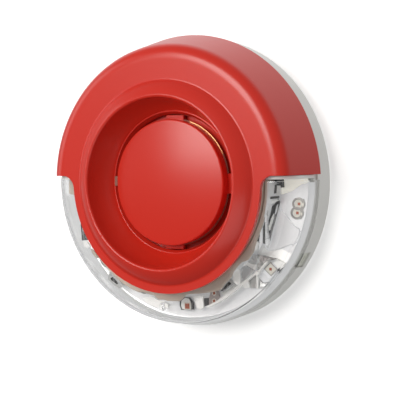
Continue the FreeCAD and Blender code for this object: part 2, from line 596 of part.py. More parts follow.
def circle_edges(shape, rad, depth, tol=0.02):
    found = []
    for k, e in enumerate(shape.Edges):
        if e.Curve.TypeId == "Part::GeomCircle" and abs(e.Curve.Radius - rad) < tol and abs(e.Curve.Center.y + depth) < tol:
            found.append("Edge%d" % (k + 1))
    if not found:
        raise RuntimeError("no edge at radius %.2f depth %.2f" % (rad, depth))
    return found


def fillet(body, name, base_feat, edges, rad):
    f = body.newObject("PartDesign::Fillet", name)
    f.Base = (base_feat, edges)
    f.Radius = val(rad)
    f.setExpression("Radius", sheet_expr(rad))
    doc.recompute()
    return f


shell_feat = rc.Tip
f1 = fillet(rc, "shoulder", shell_feat, circle_edges(shell_feat.Shape, D["hood_rad"], D["front"]), "shoulder_fillet")
f2 = fillet(rc, "shoulder_inside", f1, circle_edges(f1.Shape, D["hood_rad"] - 1.7, D["front"] - D["shell"]), "shoulder_fillet-shell")
f3 = fillet(rc, "crease_blend", f2, circle_edges(f2.Shape, D["crease_rad"], D["front"]), "1.2")
# Lower half: everything outside the lip is cut away, with rounded corners
# where the level edges run into the lip.
R0, H0, C0 = D["lip_rad"], D["cut_height"], D["corner_rad"]
cz = H0 - C0
cx = math.sqrt((R0 + C0) ** 2 - cz ** 2)
tx_, tz_ = cx * R0 / (R0 + C0), cz * R0 / (R0 + C0)


def lower_cut(body, name):
    # Outline with three arcs: corner, lip (long way round the bottom), corner.
    sk = body.newObject("Sketcher::SketchObject", name + "_outline")
    sk.AttachmentSupport = (origin_plane(body, "XZ_Plane"), [""])
    sk.MapMode = "FlatFace"
    P = lambda a, b: Vector(a, b, 0)
    g = []
    g.append(sk.addGeometry(Part.LineSegment(P(cx, H0), P(80, H0)), False))
    g.append(sk.addGeometry(Part.LineSegment(P(80, H0), P(80, -80)), False))
    g.append(sk.addGeometry(Part.LineSegment(P(80, -80), P(-80, -80)), False))
    g.append(sk.addGeometry(Part.LineSegment(P(-80, -80), P(-80, H0)), False))
    g.append(sk.addGeometry(Part.LineSegment(P(-80, H0), P(-cx, H0)), False))
    axis_dir = Vector(0, 0, 1)
    turn = 2 * math.pi
    # left corner, lip (the long way round the bottom) and right corner
    g.append(sk.addGeometry(Part.ArcOfCircle(Part.Circle(P(-cx, cz), axis_dir, C0), math.atan2(tz_ - cz, cx - tx_), math.pi / 2), False))
    g.append(sk.addGeometry(Part.ArcOfCircle(Part.Circle(P(0, 0), axis_dir, R0), math.atan2(tz_, -tx_) % turn, math.atan2(tz_, tx_) % turn), False))
    g.append(sk.addGeometry(Part.ArcOfCircle(Part.Circle(P(cx, cz), axis_dir, C0), math.pi / 2, math.atan2(tz_ - cz, tx_ - cx) % turn), False))
    run = [(P(cx, H0)), P(80, H0), P(80, -80), P(-80, -80), P(-80, H0), P(-cx, H0), P(-tx_, tz_), P(tx_, tz_)]

    def end_at(i, point):
        s = sk.Geometry[g[i]].StartPoint
        return 1 if (s - point).Length < 1e-6 else 2
    for i in range(8):
        j = (i + 1) % 8
        if i in (4, 5, 6, 7):
            continue            # joined by the tangent constraints below
        p = run[j]
        sk.addConstraint(Sketcher.Constraint("Coincident", g[i], end_at(i, p), g[j], end_at(j, p)))
    for i in (0, 2, 4):
        sk.addConstraint(Sketcher.Constraint("Horizontal", g[i]))
    for i in (1, 3):
        sk.addConstraint(Sketcher.Constraint("Vertical", g[i]))
    # lip arc about the axis, corner arcs tangent to it and to the level edges
    sk.addConstraint(Sketcher.Constraint("Coincident", g[6], 3, -1, 1))
    for tag, gi, expr in (("lip", g[6], "lip_rad"), ("corner", g[7], "corner_rad"), ("corner_left", g[5], "corner_rad")):
        k = sk.addConstraint(Sketcher.Constraint("Radius", gi, val(expr)))
        sk.renameConstraint(k, tag)
        sk.setExpression("Constraints." + tag, sheet_expr(expr))
    for i, j, p in ((4, 5, run[5]), (5, 6, run[6]), (6, 7, run[7]), (7, 0, run[0])):
        sk.addConstraint(Sketcher.Constraint("Tangent", g[i], end_at(i, p), g[j], end_at(j, p)))
    for tag, gi, p, kind, v in (("level", g[0], run[0], "DistanceY", "cut_height"), ("far_right", g[0], run[1], "DistanceX", "80"),
                                ("far_left", g[3], run[3], "DistanceX", "-80"), ("far_low", g[1], run[2], "DistanceY", "-80")):
        k = sk.addConstraint(Sketcher.Constraint(kind, -1, 1, gi, end_at(g.index(gi), p), val(v)))
        sk.renameConstraint(k, tag)
        sk.setExpression("Constraints." + tag, sheet_expr(v))
    before = body.Shape.Volume
    feat = body.newObject("PartDesign::Pocket", name)
    feat.Profile = sk
    feat.Type = 0
    feat.Length = 60.0
    feat.Reversed = True
    doc.recompute()
    if body.Shape.Volume >= before - 1.0 or "Invalid" in feat.State:
        feat.Reversed = False
        doc.recompute()
    if body.Shape.Volume >= before - 1.0:
        raise RuntimeError(name + " cut nothing %s %s %s" % (sk.State, sk.Shape.BoundBox, feat.State))
    return feat


lower_cut(rc, "lower_half")
# Screw bosses inside the hood.
pad(rc, "cover_bosses", [["circle", round(ring_at(55.0, a)[0], 4), round(ring_at(55.0, a)[1], 4), "3.4"] for a in COVERSCREWS], "plate_front", "front-shell+0.3")
pocket(rc, "boss_bores", [["circle", round(ring_at(55.0, a)[0], 4), round(ring_at(55.0, a)[1], 4), "1.25"] for a in COVERSCREWS], "plate_front-0.5", "27")
keep(rc, "red_cover")

scr = []
for i, a in enumerate(COVERSCREWS):
    x, z = [round(v, 4) for v in ring_at(55.0, a)]
    hd = cyl("cs_head_%d" % i, x, z, "2.7", "plate_back-1.8", "plate_back")
    sl = box("cs_slot_a%d" % i, "%s-1.5" % x, "%s+1.5" % x, "plate_back-2", "plate_back-0.9", "%s-0.3" % z, "%s+0.3" % z)
    sl2 = box("cs_slot_b%d" % i, "%s-0.3" % x, "%s+0.3" % x, "plate_back-2", "plate_back-0.9", "%s-1.5" % z, "%s+1.5" % z)
    sh = cyl("cs_shank_%d" % i, x, z, "1.2", "plate_back-0.1", "22.4")
    scr.append(fuse("cover_screw_%d" % i, [cut("cs_cut_%d" % i, hd, [sl, sl2]), sh]))
keep(group("cover_screws", scr), "cover_screws")

# ---------------------------------------------------------------- centre disc
# Slightly crowned cap in the mouth of the horn, open at the back, held by
# four arms that bridge the sound slot around it.
crown = D["disc_crown"] - D["disc_edge"]
disc_solid = cyl("disc_solid", 0, 0, "disc_rad", "disc_back", "disc_crown+0.5")
ball = doc.addObject("Part::Sphere", "disc_ball")
ball.setExpression("Radius", "(dims.disc_rad * dims.disc_rad + (dims.disc_crown - dims.disc_edge) ^ 2) / (2 * (dims.disc_crown - dims.disc_edge)) * 1 mm")
ball.Placement = Placement(Vector(0, (D["disc_rad"] ** 2 + crown ** 2) / (2 * crown) - D["disc_crown"], 0), Rotation(Vector(1, 0, 0), 90))
disc_cap = doc.addObject("Part::Common", "disc_cap")
disc_cap.Base = disc_solid
disc_cap.Tool = ball
disc_shell = cut("disc_shell", disc_cap, [cyl("disc_hollow", 0, 0, "disc_rad-disc_wall", "disc_back-1", "disc_edge-disc_thick")])
arms = [box("arm_top", "-4.65", "4.65", "25.2", "27.2", "27", "slot_rad-0.45"),
        box("arm_bottom", "-4.65", "4.65", "25.2", "27.2", "-slot_rad+0.45", "-27"),
        box("arm_right", "27", "slot_rad-0.45", "25.2", "27.2", "-4.6", "4.4"),
        box("arm_left", "-throat_rad+0.4", "-27", "28", "29.2", "-2.4", "2.1")]
keep(fuse("horn_disc", [disc_shell] + arms), "horn_disc")

# ---------------------------------------------------------------- sounder driver
dr = new_body("sounder_housing")
revolve(dr, "driver_cup", [[("0", "-board_front"), ("driver_rad", "-board_front"), ("driver_rad", "-driver_front"), ("driver_in_rad", "-driver_front"),
                            ("driver_in_rad", "-board_front-1.5"), ("0", "-board_front-1.5")]])
pocket(dr, "driver_pin_holes", [["circle", "10", "0", "1.1"], ["circle", "23", "0", "1.1"]], "board_front-0.5", "board_front+2.5")
keep(dr, "sounder_housing")
keep(cyl("piezo_diaphragm", 0, 0, "diaphragm_rad", "driver_front", "driver_front+diaphragm_thick"), "piezo_diaphragm")
keep(cyl("piezo_ceramic", 0, 0, "ceramic_rad", "driver_front-0.3", "driver_front"), "piezo_ceramic")
gk_o = cyl("gasket_out", 0, 0, "diaphragm_rad", "driver_front+diaphragm_thick", "shelf_back")
gk_i = cyl("gasket_in", 0, 0, "shelf_rad", "driver_front", "shelf_front")
keep(cut("diaphragm_gasket", gk_o, [gk_i]), "diaphragm_gasket")
keep(group("sounder_contacts", [cyl("contact_pin_a", 10, 0, "0.6", "board_front", "driver_front-0.3"),
                                cyl("contact_pin_b", 23, 0, "0.6", "board_front", "driver_front")]), "sounder_contacts")

# ================================================================ write out
doc.recompute()
bad = []
for obj in doc.Objects:
    if "Invalid" in obj.State or "Error" in obj.State:
        bad.append("%s %s" % (obj.Label, obj.State))
for label, obj in NODES:
    shp = obj.Shape
    if shp.isNull() or not shp.isValid():
        bad.append(label + " shape")
if bad:
    raise RuntimeError("failed objects: " + "; ".join(bad))
if len(NODES) > 60 or len(set(n for n, _ in NODES)) != len(NODES):
    raise RuntimeError("node names")
for label, obj in NODES:
    obj.Shape.exportStep("parts/%s.step" % label)
    bb = obj.Shape.BoundBox
    print("%-22s solids %2d  vol %9.1f  x %.1f..%.1f y %.1f..%.1f z %.1f..%.1f" % (
        label, len(obj.Shape.Solids), obj.Shape.Volume, bb.XMin, bb.XMax, bb.YMin, bb.YMax, bb.ZMin, bb.ZMax))
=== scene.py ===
import bpy, bmesh, math, json, random
from mathutils import Vector, Matrix


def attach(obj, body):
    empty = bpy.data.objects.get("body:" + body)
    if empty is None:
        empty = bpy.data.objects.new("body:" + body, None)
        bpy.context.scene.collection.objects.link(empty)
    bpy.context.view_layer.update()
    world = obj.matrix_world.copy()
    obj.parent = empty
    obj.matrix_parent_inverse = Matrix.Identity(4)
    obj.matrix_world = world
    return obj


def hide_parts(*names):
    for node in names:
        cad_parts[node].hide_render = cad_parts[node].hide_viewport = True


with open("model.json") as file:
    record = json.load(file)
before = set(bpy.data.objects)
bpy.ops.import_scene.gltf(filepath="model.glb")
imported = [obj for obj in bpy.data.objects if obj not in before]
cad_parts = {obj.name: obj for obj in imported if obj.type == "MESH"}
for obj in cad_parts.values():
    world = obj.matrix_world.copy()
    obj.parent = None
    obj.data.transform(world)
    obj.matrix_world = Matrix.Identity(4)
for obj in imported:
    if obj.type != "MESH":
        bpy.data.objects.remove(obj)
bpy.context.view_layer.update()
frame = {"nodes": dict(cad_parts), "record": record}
N = frame["nodes"]
MM = 0.001
random.seed(7)

# ------------------------------------------------------------------ camera
AZ, EL, DIST = math.radians(32.3), math.radians(2.3), 0.9135
TARGET = Vector((0, -0.0117, 0))
fwd = Vector((-math.sin(AZ) * math.cos(EL), math.cos(AZ) * math.cos(EL), -math.sin(EL)))
cam_data = bpy.data.cameras.new("camera")
cam = bpy.data.objects.new("camera", cam_data)
bpy.context.scene.collection.objects.link(cam)
cam.location = TARGET - fwd * DIST
cam.rotation_mode = "QUATERNION"
cam.rotation_quaternion = fwd.to_track_quat("-Z", "Y")
cam_data.sensor_width = 36.0
cam_data.lens = 178.9
cam_data.shift_x = 0.0175
cam_data.shift_y = -0.0478
cam_data.clip_start, cam_data.clip_end = 0.01, 50
bpy.context.scene.camera = cam
bpy.context.scene.view_settings.view_transform = "Standard"
bpy.context.scene.view_settings.look = "None"


# ------------------------------------------------------------------ material helpers
class Mat:
    def __init__(self, name):
        self.m = bpy.data.materials.new(name)
        self.m.use_nodes = True
        self.t = self.m.node_tree
        self.t.nodes.clear()
        self.out = self.t.nodes.new("ShaderNodeOutputMaterial")
        self.b = self.t.nodes.new("ShaderNodeBsdfPrincipled")
        self.t.links.new(self.b.outputs[0], self.out.inputs[0])

    def set(self, **kw):
        for k, v in kw.items():
            self.b.inputs[k.replace("_", " ")].default_value = v
        return self

    def node(self, kind, **kw):
        n = self.t.nodes.new(kind)
        for k, v in kw.items():
            setattr(n, k, v)
        return n

    def link(self, a, b):
        self.t.links.new(a, b)

    def coords(self):
        return self.node("ShaderNodeTexCoord").outputs["Object"]

    def scaled(self, x, y, z, turn=0.0):
        n = self.node("ShaderNodeMapping")
        n.inputs["Scale"].default_value = (x, y, z)
        n.inputs["Rotation"].default_value = (0, turn, 0)
        self.link(self.coords(), n.inputs["Vector"])
        return n.outputs[0]

    def noise(self, scale, detail=3.0, rough=0.55, vec=None):
        n = self.node("ShaderNodeTexNoise")
        n.inputs["Scale"].default_value = scale
        n.inputs["Detail"].default_value = detail
        n.inputs["Roughness"].default_value = rough
        self.link(vec or self.coords(), n.inputs["Vector"])
        return n.outputs["Fac"]

    def ramp(self, fac, stops):
        r = self.node("ShaderNodeValToRGB")
        el = r.color_ramp.elements
        while len(el) < len(stops):
            el.new(0.5)
        for e, (p, c) in zip(el, stops):
            e.position = p
            e.color = c if len(c) == 4 else (*c, 1)
        self.link(fac, r.inputs[0])
        return r.outputs[0]

    def range(self, fac, lo, hi):
        r = self.node("ShaderNodeMapRange")
        r.inputs["To Min"].default_value = lo
        r.inputs["To Max"].default_value = hi
        self.link(fac, r.inputs["Value"])
        return r.outputs[0]

    def bump(self, fac, strength, distance):
        b = self.node("ShaderNodeBump")
        b.inputs["Strength"].default_value = strength
        b.inputs["Distance"].default_value = distance
        self.link(fac, b.inputs["Height"])
        self.link(b.outputs[0], self.b.inputs["Normal"])
        return b

    def tint(self, base, var, scale, detail=3.0):
        a = tuple(max(0.0, c * (1 - var)) for c in base)
        b = tuple(min(1.0, c * (1 + var)) for c in base)
        self.link(self.ramp(self.noise(scale, detail), [(0.3, a), (0.7, b)]), self.b.inputs["Base Color"])
        return self


def moulded(name, base, rough, grain=2600.0, bump=0.12, var=0.03, spread=0.045, **kw):
    m = Mat(name).set(**kw)
    m.tint(base, var, 60.0)
    m.link(m.range(m.noise(900.0, 2.0), rough - spread, rough + spread), m.b.inputs["Roughness"])
    m.bump(m.noise(grain, 2.0), bump, 0.00004)
    return m.m


def metal(name, base, rough, var=0.05, scale=700.0, bump=0.05, metallic=1.0, **kw):
    m = Mat(name).set(Metallic=metallic, **kw)
    m.tint(base, var, scale)
    m.link(m.range(m.noise(scale, 3.0), rough * 0.7, rough * 1.3), m.b.inputs["Roughness"])
    m.bump(m.noise(scale * 2, 2.0), bump, 0.00003)
    return m.m


M = {}
M["cover_red"] = moulded("cover_red_satin", (0.60, 0.024, 0.012), 0.275, bump=0.0, var=0.0, spread=0.0)
M["base_white"] = moulded("base_white_abs", (0.84, 0.83, 0.79), 0.38)
M["chassis_white"] = moulded("chassis_white_abs", (0.74, 0.74, 0.71), 0.40)
M["grommet_rubber"] = moulded("grommet_rubber", (0.02, 0.02, 0.02), 0.75, grain=1500, bump=0.3)
M["terminal_grey"] = moulded("terminal_grey", (0.32, 0.34, 0.33), 0.45)
M["catch_plastic"] = moulded("catch_plastic", (0.78, 0.79, 0.70), 0.45)
M["seal_foam"] = moulded("seal_foam", (0.03, 0.03, 0.03), 0.95, grain=900, bump=0.9)
M["switch_red"] = moulded("switch_red", (0.45, 0.03, 0.02), 0.4)
M["lever_white"] = moulded("lever_white", (0.8, 0.8, 0.77), 0.4)
M["black_moulding"] = moulded("black_moulding", (0.018, 0.018, 0.019), 0.5, grain=3000, bump=0.25)
M["ferrite"] = moulded("ferrite", (0.045, 0.043, 0.045), 0.6, grain=2000, bump=0.4)
M["capacitor_sleeve"] = moulded("capacitor_sleeve", (0.02, 0.025, 0.05), 0.25)
M["ceramic_chips"] = moulded("ceramic_chips", (0.22, 0.16, 0.10), 0.5, var=0.2)
# warm grey: painted shade and red bounce light on the chamber ledge's white plastic
M["ring_grey"] = moulded("ring_grey", (0.62, 0.50, 0.41), 0.38, var=0.08)
M["seat_grey"] = moulded("led_seat_grey", (0.37, 0.355, 0.335), 0.35, var=0.05)
# painted glow: the cream board edge carries a faint emission that stands in for light it doesn't get under the hood
M["plate"] = moulded("board_edge_cream_painted_glow", (0.94, 0.92, 0.82), 0.35, var=0.02, Emission_Color=(1.0, 0.97, 0.88, 1.0), Emission_Strength=0.30)
M["dome"] = metal("status_dome_clear", (0.85, 0.83, 0.78), 0.10, var=0.02, metallic=0.2)
M["flange"] = moulded("lens_flange_frosted", (0.88, 0.86, 0.83), 0.35, var=0.02)
M["peg"] = moulded("horn_peg", (0.26, 0.10, 0.07), 0.6)
# gold as a painted glint on the upper-right arc of the cap's skirt bead
M["bead"] = metal("horn_bead_painted_glint", (0.85, 0.46, 0.22), 0.25, var=0.04, metallic=0.7)
M["board_white"] = moulded("board_white", (0.72, 0.71, 0.60), 0.35)
M["board_green"] = moulded("board_green", (0.015, 0.13, 0.05), 0.25, var=0.1)
M["led_ceramic"] = moulded("led_housing", (0.80, 0.77, 0.69), 0.3)
M["piezo_white"] = moulded("piezo_white", (0.7, 0.68, 0.62), 0.5)
M["plated_steel"] = metal("plated_steel", (0.62, 0.61, 0.58), 0.3)
M["contact_brass"] = metal("contact_brass", (0.75, 0.58, 0.28), 0.28)
M["copper_winding"] = metal("copper_winding", (0.70, 0.30, 0.12), 0.35)
# aluminised reflector surfaces, from mirror-bright to matt; their grey levels are lighter and darker copies of one
# finish, painted reflection and shade, and the light ones carry a faint emission as a painted glow
M["reflector_chrome"] = metal("reflector_aluminised_painted_glow", (0.93, 0.93, 0.94), 0.24, var=0.012, bump=0.02, metallic=0.15, Emission_Color=(0.96, 0.97, 1.0, 1.0), Emission_Strength=0.07)
M["satin"] = metal("reflector_satin", (0.62, 0.625, 0.63), 0.28, var=0.06, scale=260.0, bump=0.03, metallic=0.3)
M["satin_light"] = metal("reflector_satin_light_painted_glow", (0.86, 0.865, 0.88), 0.28, var=0.02, scale=200.0, bump=0.02, metallic=0.10, Emission_Color=(0.95, 0.97, 1.0, 1.0), Emission_Strength=0.07)
M["satin_mid"] = metal("reflector_satin_mid", (0.52, 0.52, 0.515), 0.30, var=0.08, scale=260.0, bump=0.03, metallic=0.3)
M["bright"] = metal("reflector_bright_painted_glow", (0.95, 0.945, 0.92), 0.25, var=0.02, scale=200.0, bump=0.02, metallic=0.05, Emission_Color=(1.0, 0.98, 0.95, 1.0), Emission_Strength=0.05)
# near-black plates: painted dark reflection in the streaks, painted shade in the slit and wells
M["darkgrey"] = moulded("reflector_shade", (0.028, 0.027, 0.026), 0.3, var=0.3)
M["black"] = moulded("reflector_gap", (0.03, 0.029, 0.028), 0.4)
# grey-brown: white plastic painted with the shade and red bounce light it gets in the chamber
M["brown"] = moulded("chamber_wall_painted_shade_and_red_bounce", (0.50, 0.43, 0.36), 0.32, var=0.12)
M["pinkgrey"] = moulded("led_pad_plate", (0.42, 0.35, 0.33), 0.35, var=0.1)

# mirror folds: long dark and bright streaks along the wall, painted reflection in the base colour; the same bands fill
# the dark windows as painted shade
m = Mat("reflector_painted_reflection_streaks").set(Metallic=0.7)
m.link(m.ramp(m.noise(1.0, 2.0, 0.5, m.scaled(900.0, 60.0, 70.0, 0.25)), [(0.40, (0.016, 0.016, 0.017)), (0.56, (0.07, 0.07, 0.07)), (0.60, (0.55, 0.55, 0.56)), (0.66, (0.05, 0.05, 0.05))]), m.b.inputs["Base Color"])
m.link(m.range(m.noise(500.0), 0.12, 0.28), m.b.inputs["Roughness"])
M["streak"] = m.m
# crumpled mirror patch beside the star: the bump is real crumple, the dark and light mottle in the base colour is
# painted reflection
m = Mat("reflector_mottled_painted_reflection").set(Metallic=0.6)
m.link(m.ramp(m.noise(620.0, 3.0, 0.6), [(0.36, (0.16, 0.155, 0.145)), (0.50, (0.50, 0.49, 0.46)), (0.62, (0.80, 0.79, 0.76))]), m.b.inputs["Base Color"])
m.link(m.range(m.noise(500.0), 0.15, 0.35), m.b.inputs["Roughness"])
m.bump(m.noise(500.0, 2.0), 0.35, 0.0003)
M["mottle"] = m.m

m = Mat("led_die").set(Roughness=0.25)
m.tint((0.42, 0.10, 0.045), 0.30, 1500.0)
m.bump(m.noise(3000.0, 2.0), 0.3, 0.00005)
M["led_die"] = m.m


def clear(name, tint, rough):
    """Moulded clear plastic: glass to the eye, open to lamps and bounced light."""
    m = Mat(name).set(Roughness=rough, IOR=1.24, Transmission_Weight=1.0, Base_Color=tint, Coat_Weight=0.7, Coat_Roughness=0.04)
    m.bump(m.noise(90.0, 2.0), 0.02, 0.0002)
    lp = m.node("ShaderNodeLightPath")
    mx = m.node("ShaderNodeMath", operation="MAXIMUM")
    m.link(lp.outputs["Is Shadow Ray"], mx.inputs[0])
    m.link(lp.outputs["Is Diffuse Ray"], mx.inputs[1])
    tr = m.node("ShaderNodeBsdfTransparent")
    tr.inputs[0].default_value = (0.97, 0.97, 0.97, 1)
    mix = m.node("ShaderNodeMixShader")
    m.link(mx.outputs[0], mix.inputs[0])
    m.link(m.b.outputs[0], mix.inputs[1])
    m.link(tr.outputs[0], mix.inputs[2])
    m.link(mix.outputs[0], m.out.inputs[0])
    return m.m


M["clear_pc"] = clear("clear_polycarbonate", (0.985, 0.988, 0.985, 1), 0.02)

slot_of = {s["node"]: s["material_slot"] for s in frame["record"]["subparts"]}
for name, o in N.items():
    o.data.materials.clear()
    o.data.materials.append(M[slot_of[name]])


# ------------------------------------------------------------------ mesh helpers
def at(r, deg, d):
    t = math.radians(deg)
    return (r * math.cos(t) * MM, -d * MM, r * math.sin(t) * MM)


def arc(p, q, rad, side, n):
    """Points of an arc from p to q, bulging to the given side, ends included."""
    p, q = Vector(p), Vector(q)
    m_, c = (p + q) / 2, (q - p)
    h = c.length / 2
    nrm = Vector((-c.y, c.x)).normalized() * side
    cen = m_ - nrm * math.sqrt(max(rad * rad - h * h, 0))
    a0, a1 = math.atan2(*(p - cen).yx), math.atan2(*(q - cen).yx)
    while a1 - a0 > math.pi:
        a1 -= 2 * math.pi
    while a0 - a1 > math.pi:
        a1 += 2 * math.pi
    return [(cen.x + rad * math.cos(a0 + (a1 - a0) * i / n), cen.y + rad * math.sin(a0 + (a1 - a0) * i / n)) for i in range(n + 1)]


def soften(path, radii, n=6):
    """Round the corners of an open path; radii gives the radius at each inner corner, 0 for none."""
    out = [tuple(path[0])]
    for i in range(1, len(path) - 1):
        r = radii[i - 1]
        a, b, c = Vector(path[i - 1]), Vector(path[i]), Vector(path[i + 1])
        if r <= 0:
            out.append(tuple(b))
            continue
        u, v = (a - b).normalized(), (c - b).normalized()
        half = math.acos(max(-1, min(1, u.dot(v)))) / 2
        cut = min(r / math.tan(half), (a - b).length * 0.49, (c - b).length * 0.49)
        r = cut * math.tan(half)
        cen = b + (u + v).normalized() * (r / math.sin(half))
        p, q = b + u * cut, b + v * cut
        a0, a1 = math.atan2(*(p - cen).yx), math.atan2(*(q - cen).yx)
        while a1 - a0 > math.pi:
            a1 -= 2 * math.pi
        while a0 - a1 > math.pi:
            a1 += 2 * math.pi
        out += [(cen.x + r * math.cos(a0 + (a1 - a0) * k / n), cen.y + r * math.sin(a0 + (a1 - a0) * k / n)) for k in range(n + 1)]
    out.append(tuple(path[-1]))
    return out


def resample(path, n):
    """n+1 points evenly spread along a path."""
    ln = [0.0]
    for a, b in zip(path, path[1:]):
        ln.append(ln[-1] + math.dist(a, b))
    out, k = [], 0
    for i in range(n + 1):
        s = ln[-1] * i / n
        while k < len(path) - 2 and ln[k + 1] < s:
            k += 1
        w = (s - ln[k]) / max(ln[k + 1] - ln[k], 1e-9)
        out.append((path[k][0] + (path[k + 1][0] - path[k][0]) * w, path[k][1] + (path[k + 1][1] - path[k][1]) * w))
    return out


def finish_mesh(bm, name, mat, body, smooth=True, sharp=40.0, weighted=True):
    bmesh.ops.recalc_face_normals(bm, faces=bm.faces[:])
    me = bpy.data.meshes.new(name)
    bm.to_mesh(me)
    bm.free()
    o = bpy.data.objects.new(name, me)
    bpy.context.scene.collection.objects.link(o)
    me.materials.append(M[mat])
    for p in me.polygons:
        p.use_smooth = smooth
    if smooth:
        me.set_sharp_from_angle(angle=math.radians(sharp))
        if weighted:
            w = o.modifiers.new("weighted", "WEIGHTED_NORMAL")
            w.keep_sharp = True
            w.weight = 60
    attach(o, body)
    return o


def quad(bm, a, b, c, d):
    vs = []
    for v in (a, b, c, d):
        if v not in vs:
            vs.append(v)
    if len(vs) < 3:
        return None
    try:
        return bm.faces.new(vs)
    except ValueError:
        return None


def turned(bm, loop, cols, a0=0.0, a1=360.0):
    """Revolve a closed loop of (R, d) all the way round the axis."""
    rings = []
    for r, d in loop:
        if r < 1e-6:
            v = bm.verts.new(at(0, 0, d))
            rings.append([v] * cols)
        else:
            rings.append([bm.verts.new(at(r, a0 + (a1 - a0) * j / cols, d)) for j in range(cols)])
    n = len(rings)
    for i in range(n):
        A_, B_ = rings[i], rings[(i + 1) % n]
        if A_[0] is A_[1] and B_[0] is B_[1]:
            continue
        for j in range(cols):
            k = (j + 1) % cols
            quad(bm, A_[j], A_[k], B_[k], B_[j])


def shell(bm, outer, inner, lo, hi, cols):
    """Solid between two paired paths, from angle lo(R) to hi(R)."""
    def sheet(path):
        return [[bm.verts.new(at(r, lo(r) + (hi(r) - lo(r)) * j / cols, d)) for j in range(cols + 1)] for r, d in path]
    O, I = sheet(outer), sheet(inner)
    n = len(O)
    for S in (O, I):
        for i in range(n - 1):
            for j in range(cols):
                quad(bm, S[i][j], S[i][j + 1], S[i + 1][j + 1], S[i + 1][j])
    for i in (0, n - 1):
        for j in range(cols):
            quad(bm, O[i][j], O[i][j + 1], I[i][j + 1], I[i][j])
    for j in (0, cols):
        for i in range(n - 1):
            quad(bm, O[i][j], O[i + 1][j], I[i + 1][j], I[i][j])


def bevel_sharp(bm, angle, offset, segments, pick=None):
    bm.edges.ensure_lookup_table()
    bmesh.ops.recalc_face_normals(bm, faces=bm.faces[:])
    es = [e for e in bm.edges if len(e.link_faces) == 2 and e.calc_face_angle(0) > math.radians(angle) and (pick is None or pick(e))]
    if es:
        bmesh.ops.bevel(bm, geom=es, offset=offset * MM, segments=segments, profile=0.5, affect="EDGES", clamp_overlap=True)
    return len(es)

# ------------------------------------------------------------------ red cover
LIP, CUT, CORNER = 50.0, 3.05, 6.0
TURN = 1.2          # the hood sits a touch short of its stop, so its level edge leans
CZ = CUT - CORNER
OC = LIP + CORNER
C_ANG = math.asin(CZ / OC)
TOP_R = math.hypot(math.sqrt(OC * OC - CZ * CZ), CUT)


def cut_angle(r):
    """Angle at which the lower half of the cover is cut away at this radius."""
    if r <= LIP + 1e-6:
        return math.degrees(C_ANG)
    if r < TOP_R:
        c = (r * r + OC * OC - CORNER * CORNER) / (2 * r * OC)
        return math.degrees(C_ANG + math.acos(max(-1, min(1, c))))
    return math.degrees(math.asin(CUT / r))


hood_out = soften([(66.9, 11.65), (61.6, 36.15), (LIP, 36.15)], [6.5], 14)
hood_in = soften([(65.0, 11.65), (59.9, 34.15), (LIP, 34.15)], [4.5], 14)
# rows that follow the corner arc closely, then the rest of the hood
near = [LIP + (TOP_R - LIP) * (i / 12) ** 1.7 for i in range(1, 13)]


def hood_rows(path, rows):
    flat_d = path[-1][1]
    rest = [p for p in path if p[0] > TOP_R + 0.4 or p[1] < flat_d - 0.01]
    rest = resample(rest, rows)
    return rest + [(r, flat_d) for r in reversed(near)]


H_OUT, H_IN = hood_rows(hood_out, 26), hood_rows(hood_in, 26)
def bulged(p, q, rad, n, outward):
    """Arc from p to q whose middle lies further from (outward) or nearer to the chord's far side."""
    one, two = arc(p, q, rad, 1, n), arc(p, q, rad, -1, n)
    return one if (one[n // 2][0] * outward[0] + one[n // 2][1] * outward[1]) > (two[n // 2][0] * outward[0] + two[n // 2][1] * outward[1]) else two


def fillet(before, corner, after, rad, n):
    """Round the meeting point of two paths; points swallowed by the rounding are dropped."""
    u = (Vector(before[-1]) - Vector(corner)).normalized()
    v = (Vector(after[0]) - Vector(corner)).normalized()
    ends = [tuple(Vector(corner) + u * 6), corner, tuple(Vector(corner) + v * 6)]
    mid = soften(ends, [rad], n)[1:-1]
    reach = (Vector(mid[0]) - Vector(corner)).length * 1.05
    return ([p for p in before if (Vector(p) - Vector(corner)).length > reach] + mid
            + [p for p in after if (Vector(p) - Vector(corner)).length > reach])


CREASE, MOUTH, THROAT = (46.3, 36.15), (38.62, 42.15), (32.2, 27.9)
flare = bulged(CREASE, MOUTH, 20.0, 20, (1, 1))
bowl = bulged(MOUTH, THROAT, 24.0, 24, (1, -1))
front_path = fillet([(LIP, 36.15), (49.0, 36.15), (48.0, 36.15)], CREASE, flare[1:-1], 1.3, 7)
front_path = fillet(front_path, MOUTH, bowl[1:-1], 1.05, 10)
bead = [(32.2 + 0.42 * math.cos(math.radians(a)), 27.95 + 0.42 * math.sin(math.radians(a))) for a in (38, 60, 82, 104, 126, 148, 170, 192)]
F = [p for p in front_path if p[0] > 32.75 or p[1] > 28.6] + bead
F += soften([F[-1], (30.8, 26.3), (30.8, 24.0)], [0.35], 4)[1:]
B = [(27.4, 24.0), (27.4, 22.6), (34.2, 22.6), (34.2, 25.7), (35.4, 27.7), (37.9, 33.6), (40.0, 38.65), (42.6, 36.5), (45.6, 34.15), (47.6, 34.15), (LIP, 34.15)]

bm = bmesh.new()
UP, LOW = 220, 200
a50 = cut_angle(LIP)


def row(r, d, partial):
    a = cut_angle(r) if partial else a50
    return [bm.verts.new(at(r, a + (180 - 2 * a) * j / UP, d)) for j in range(UP + 1)]


def full(r, d):
    v = row(r, d, False)
    span = 180 + 2 * a50
    v += [bm.verts.new(at(r, 180 - a50 + span * k / LOW, d)) for k in range(1, LOW)]
    return v


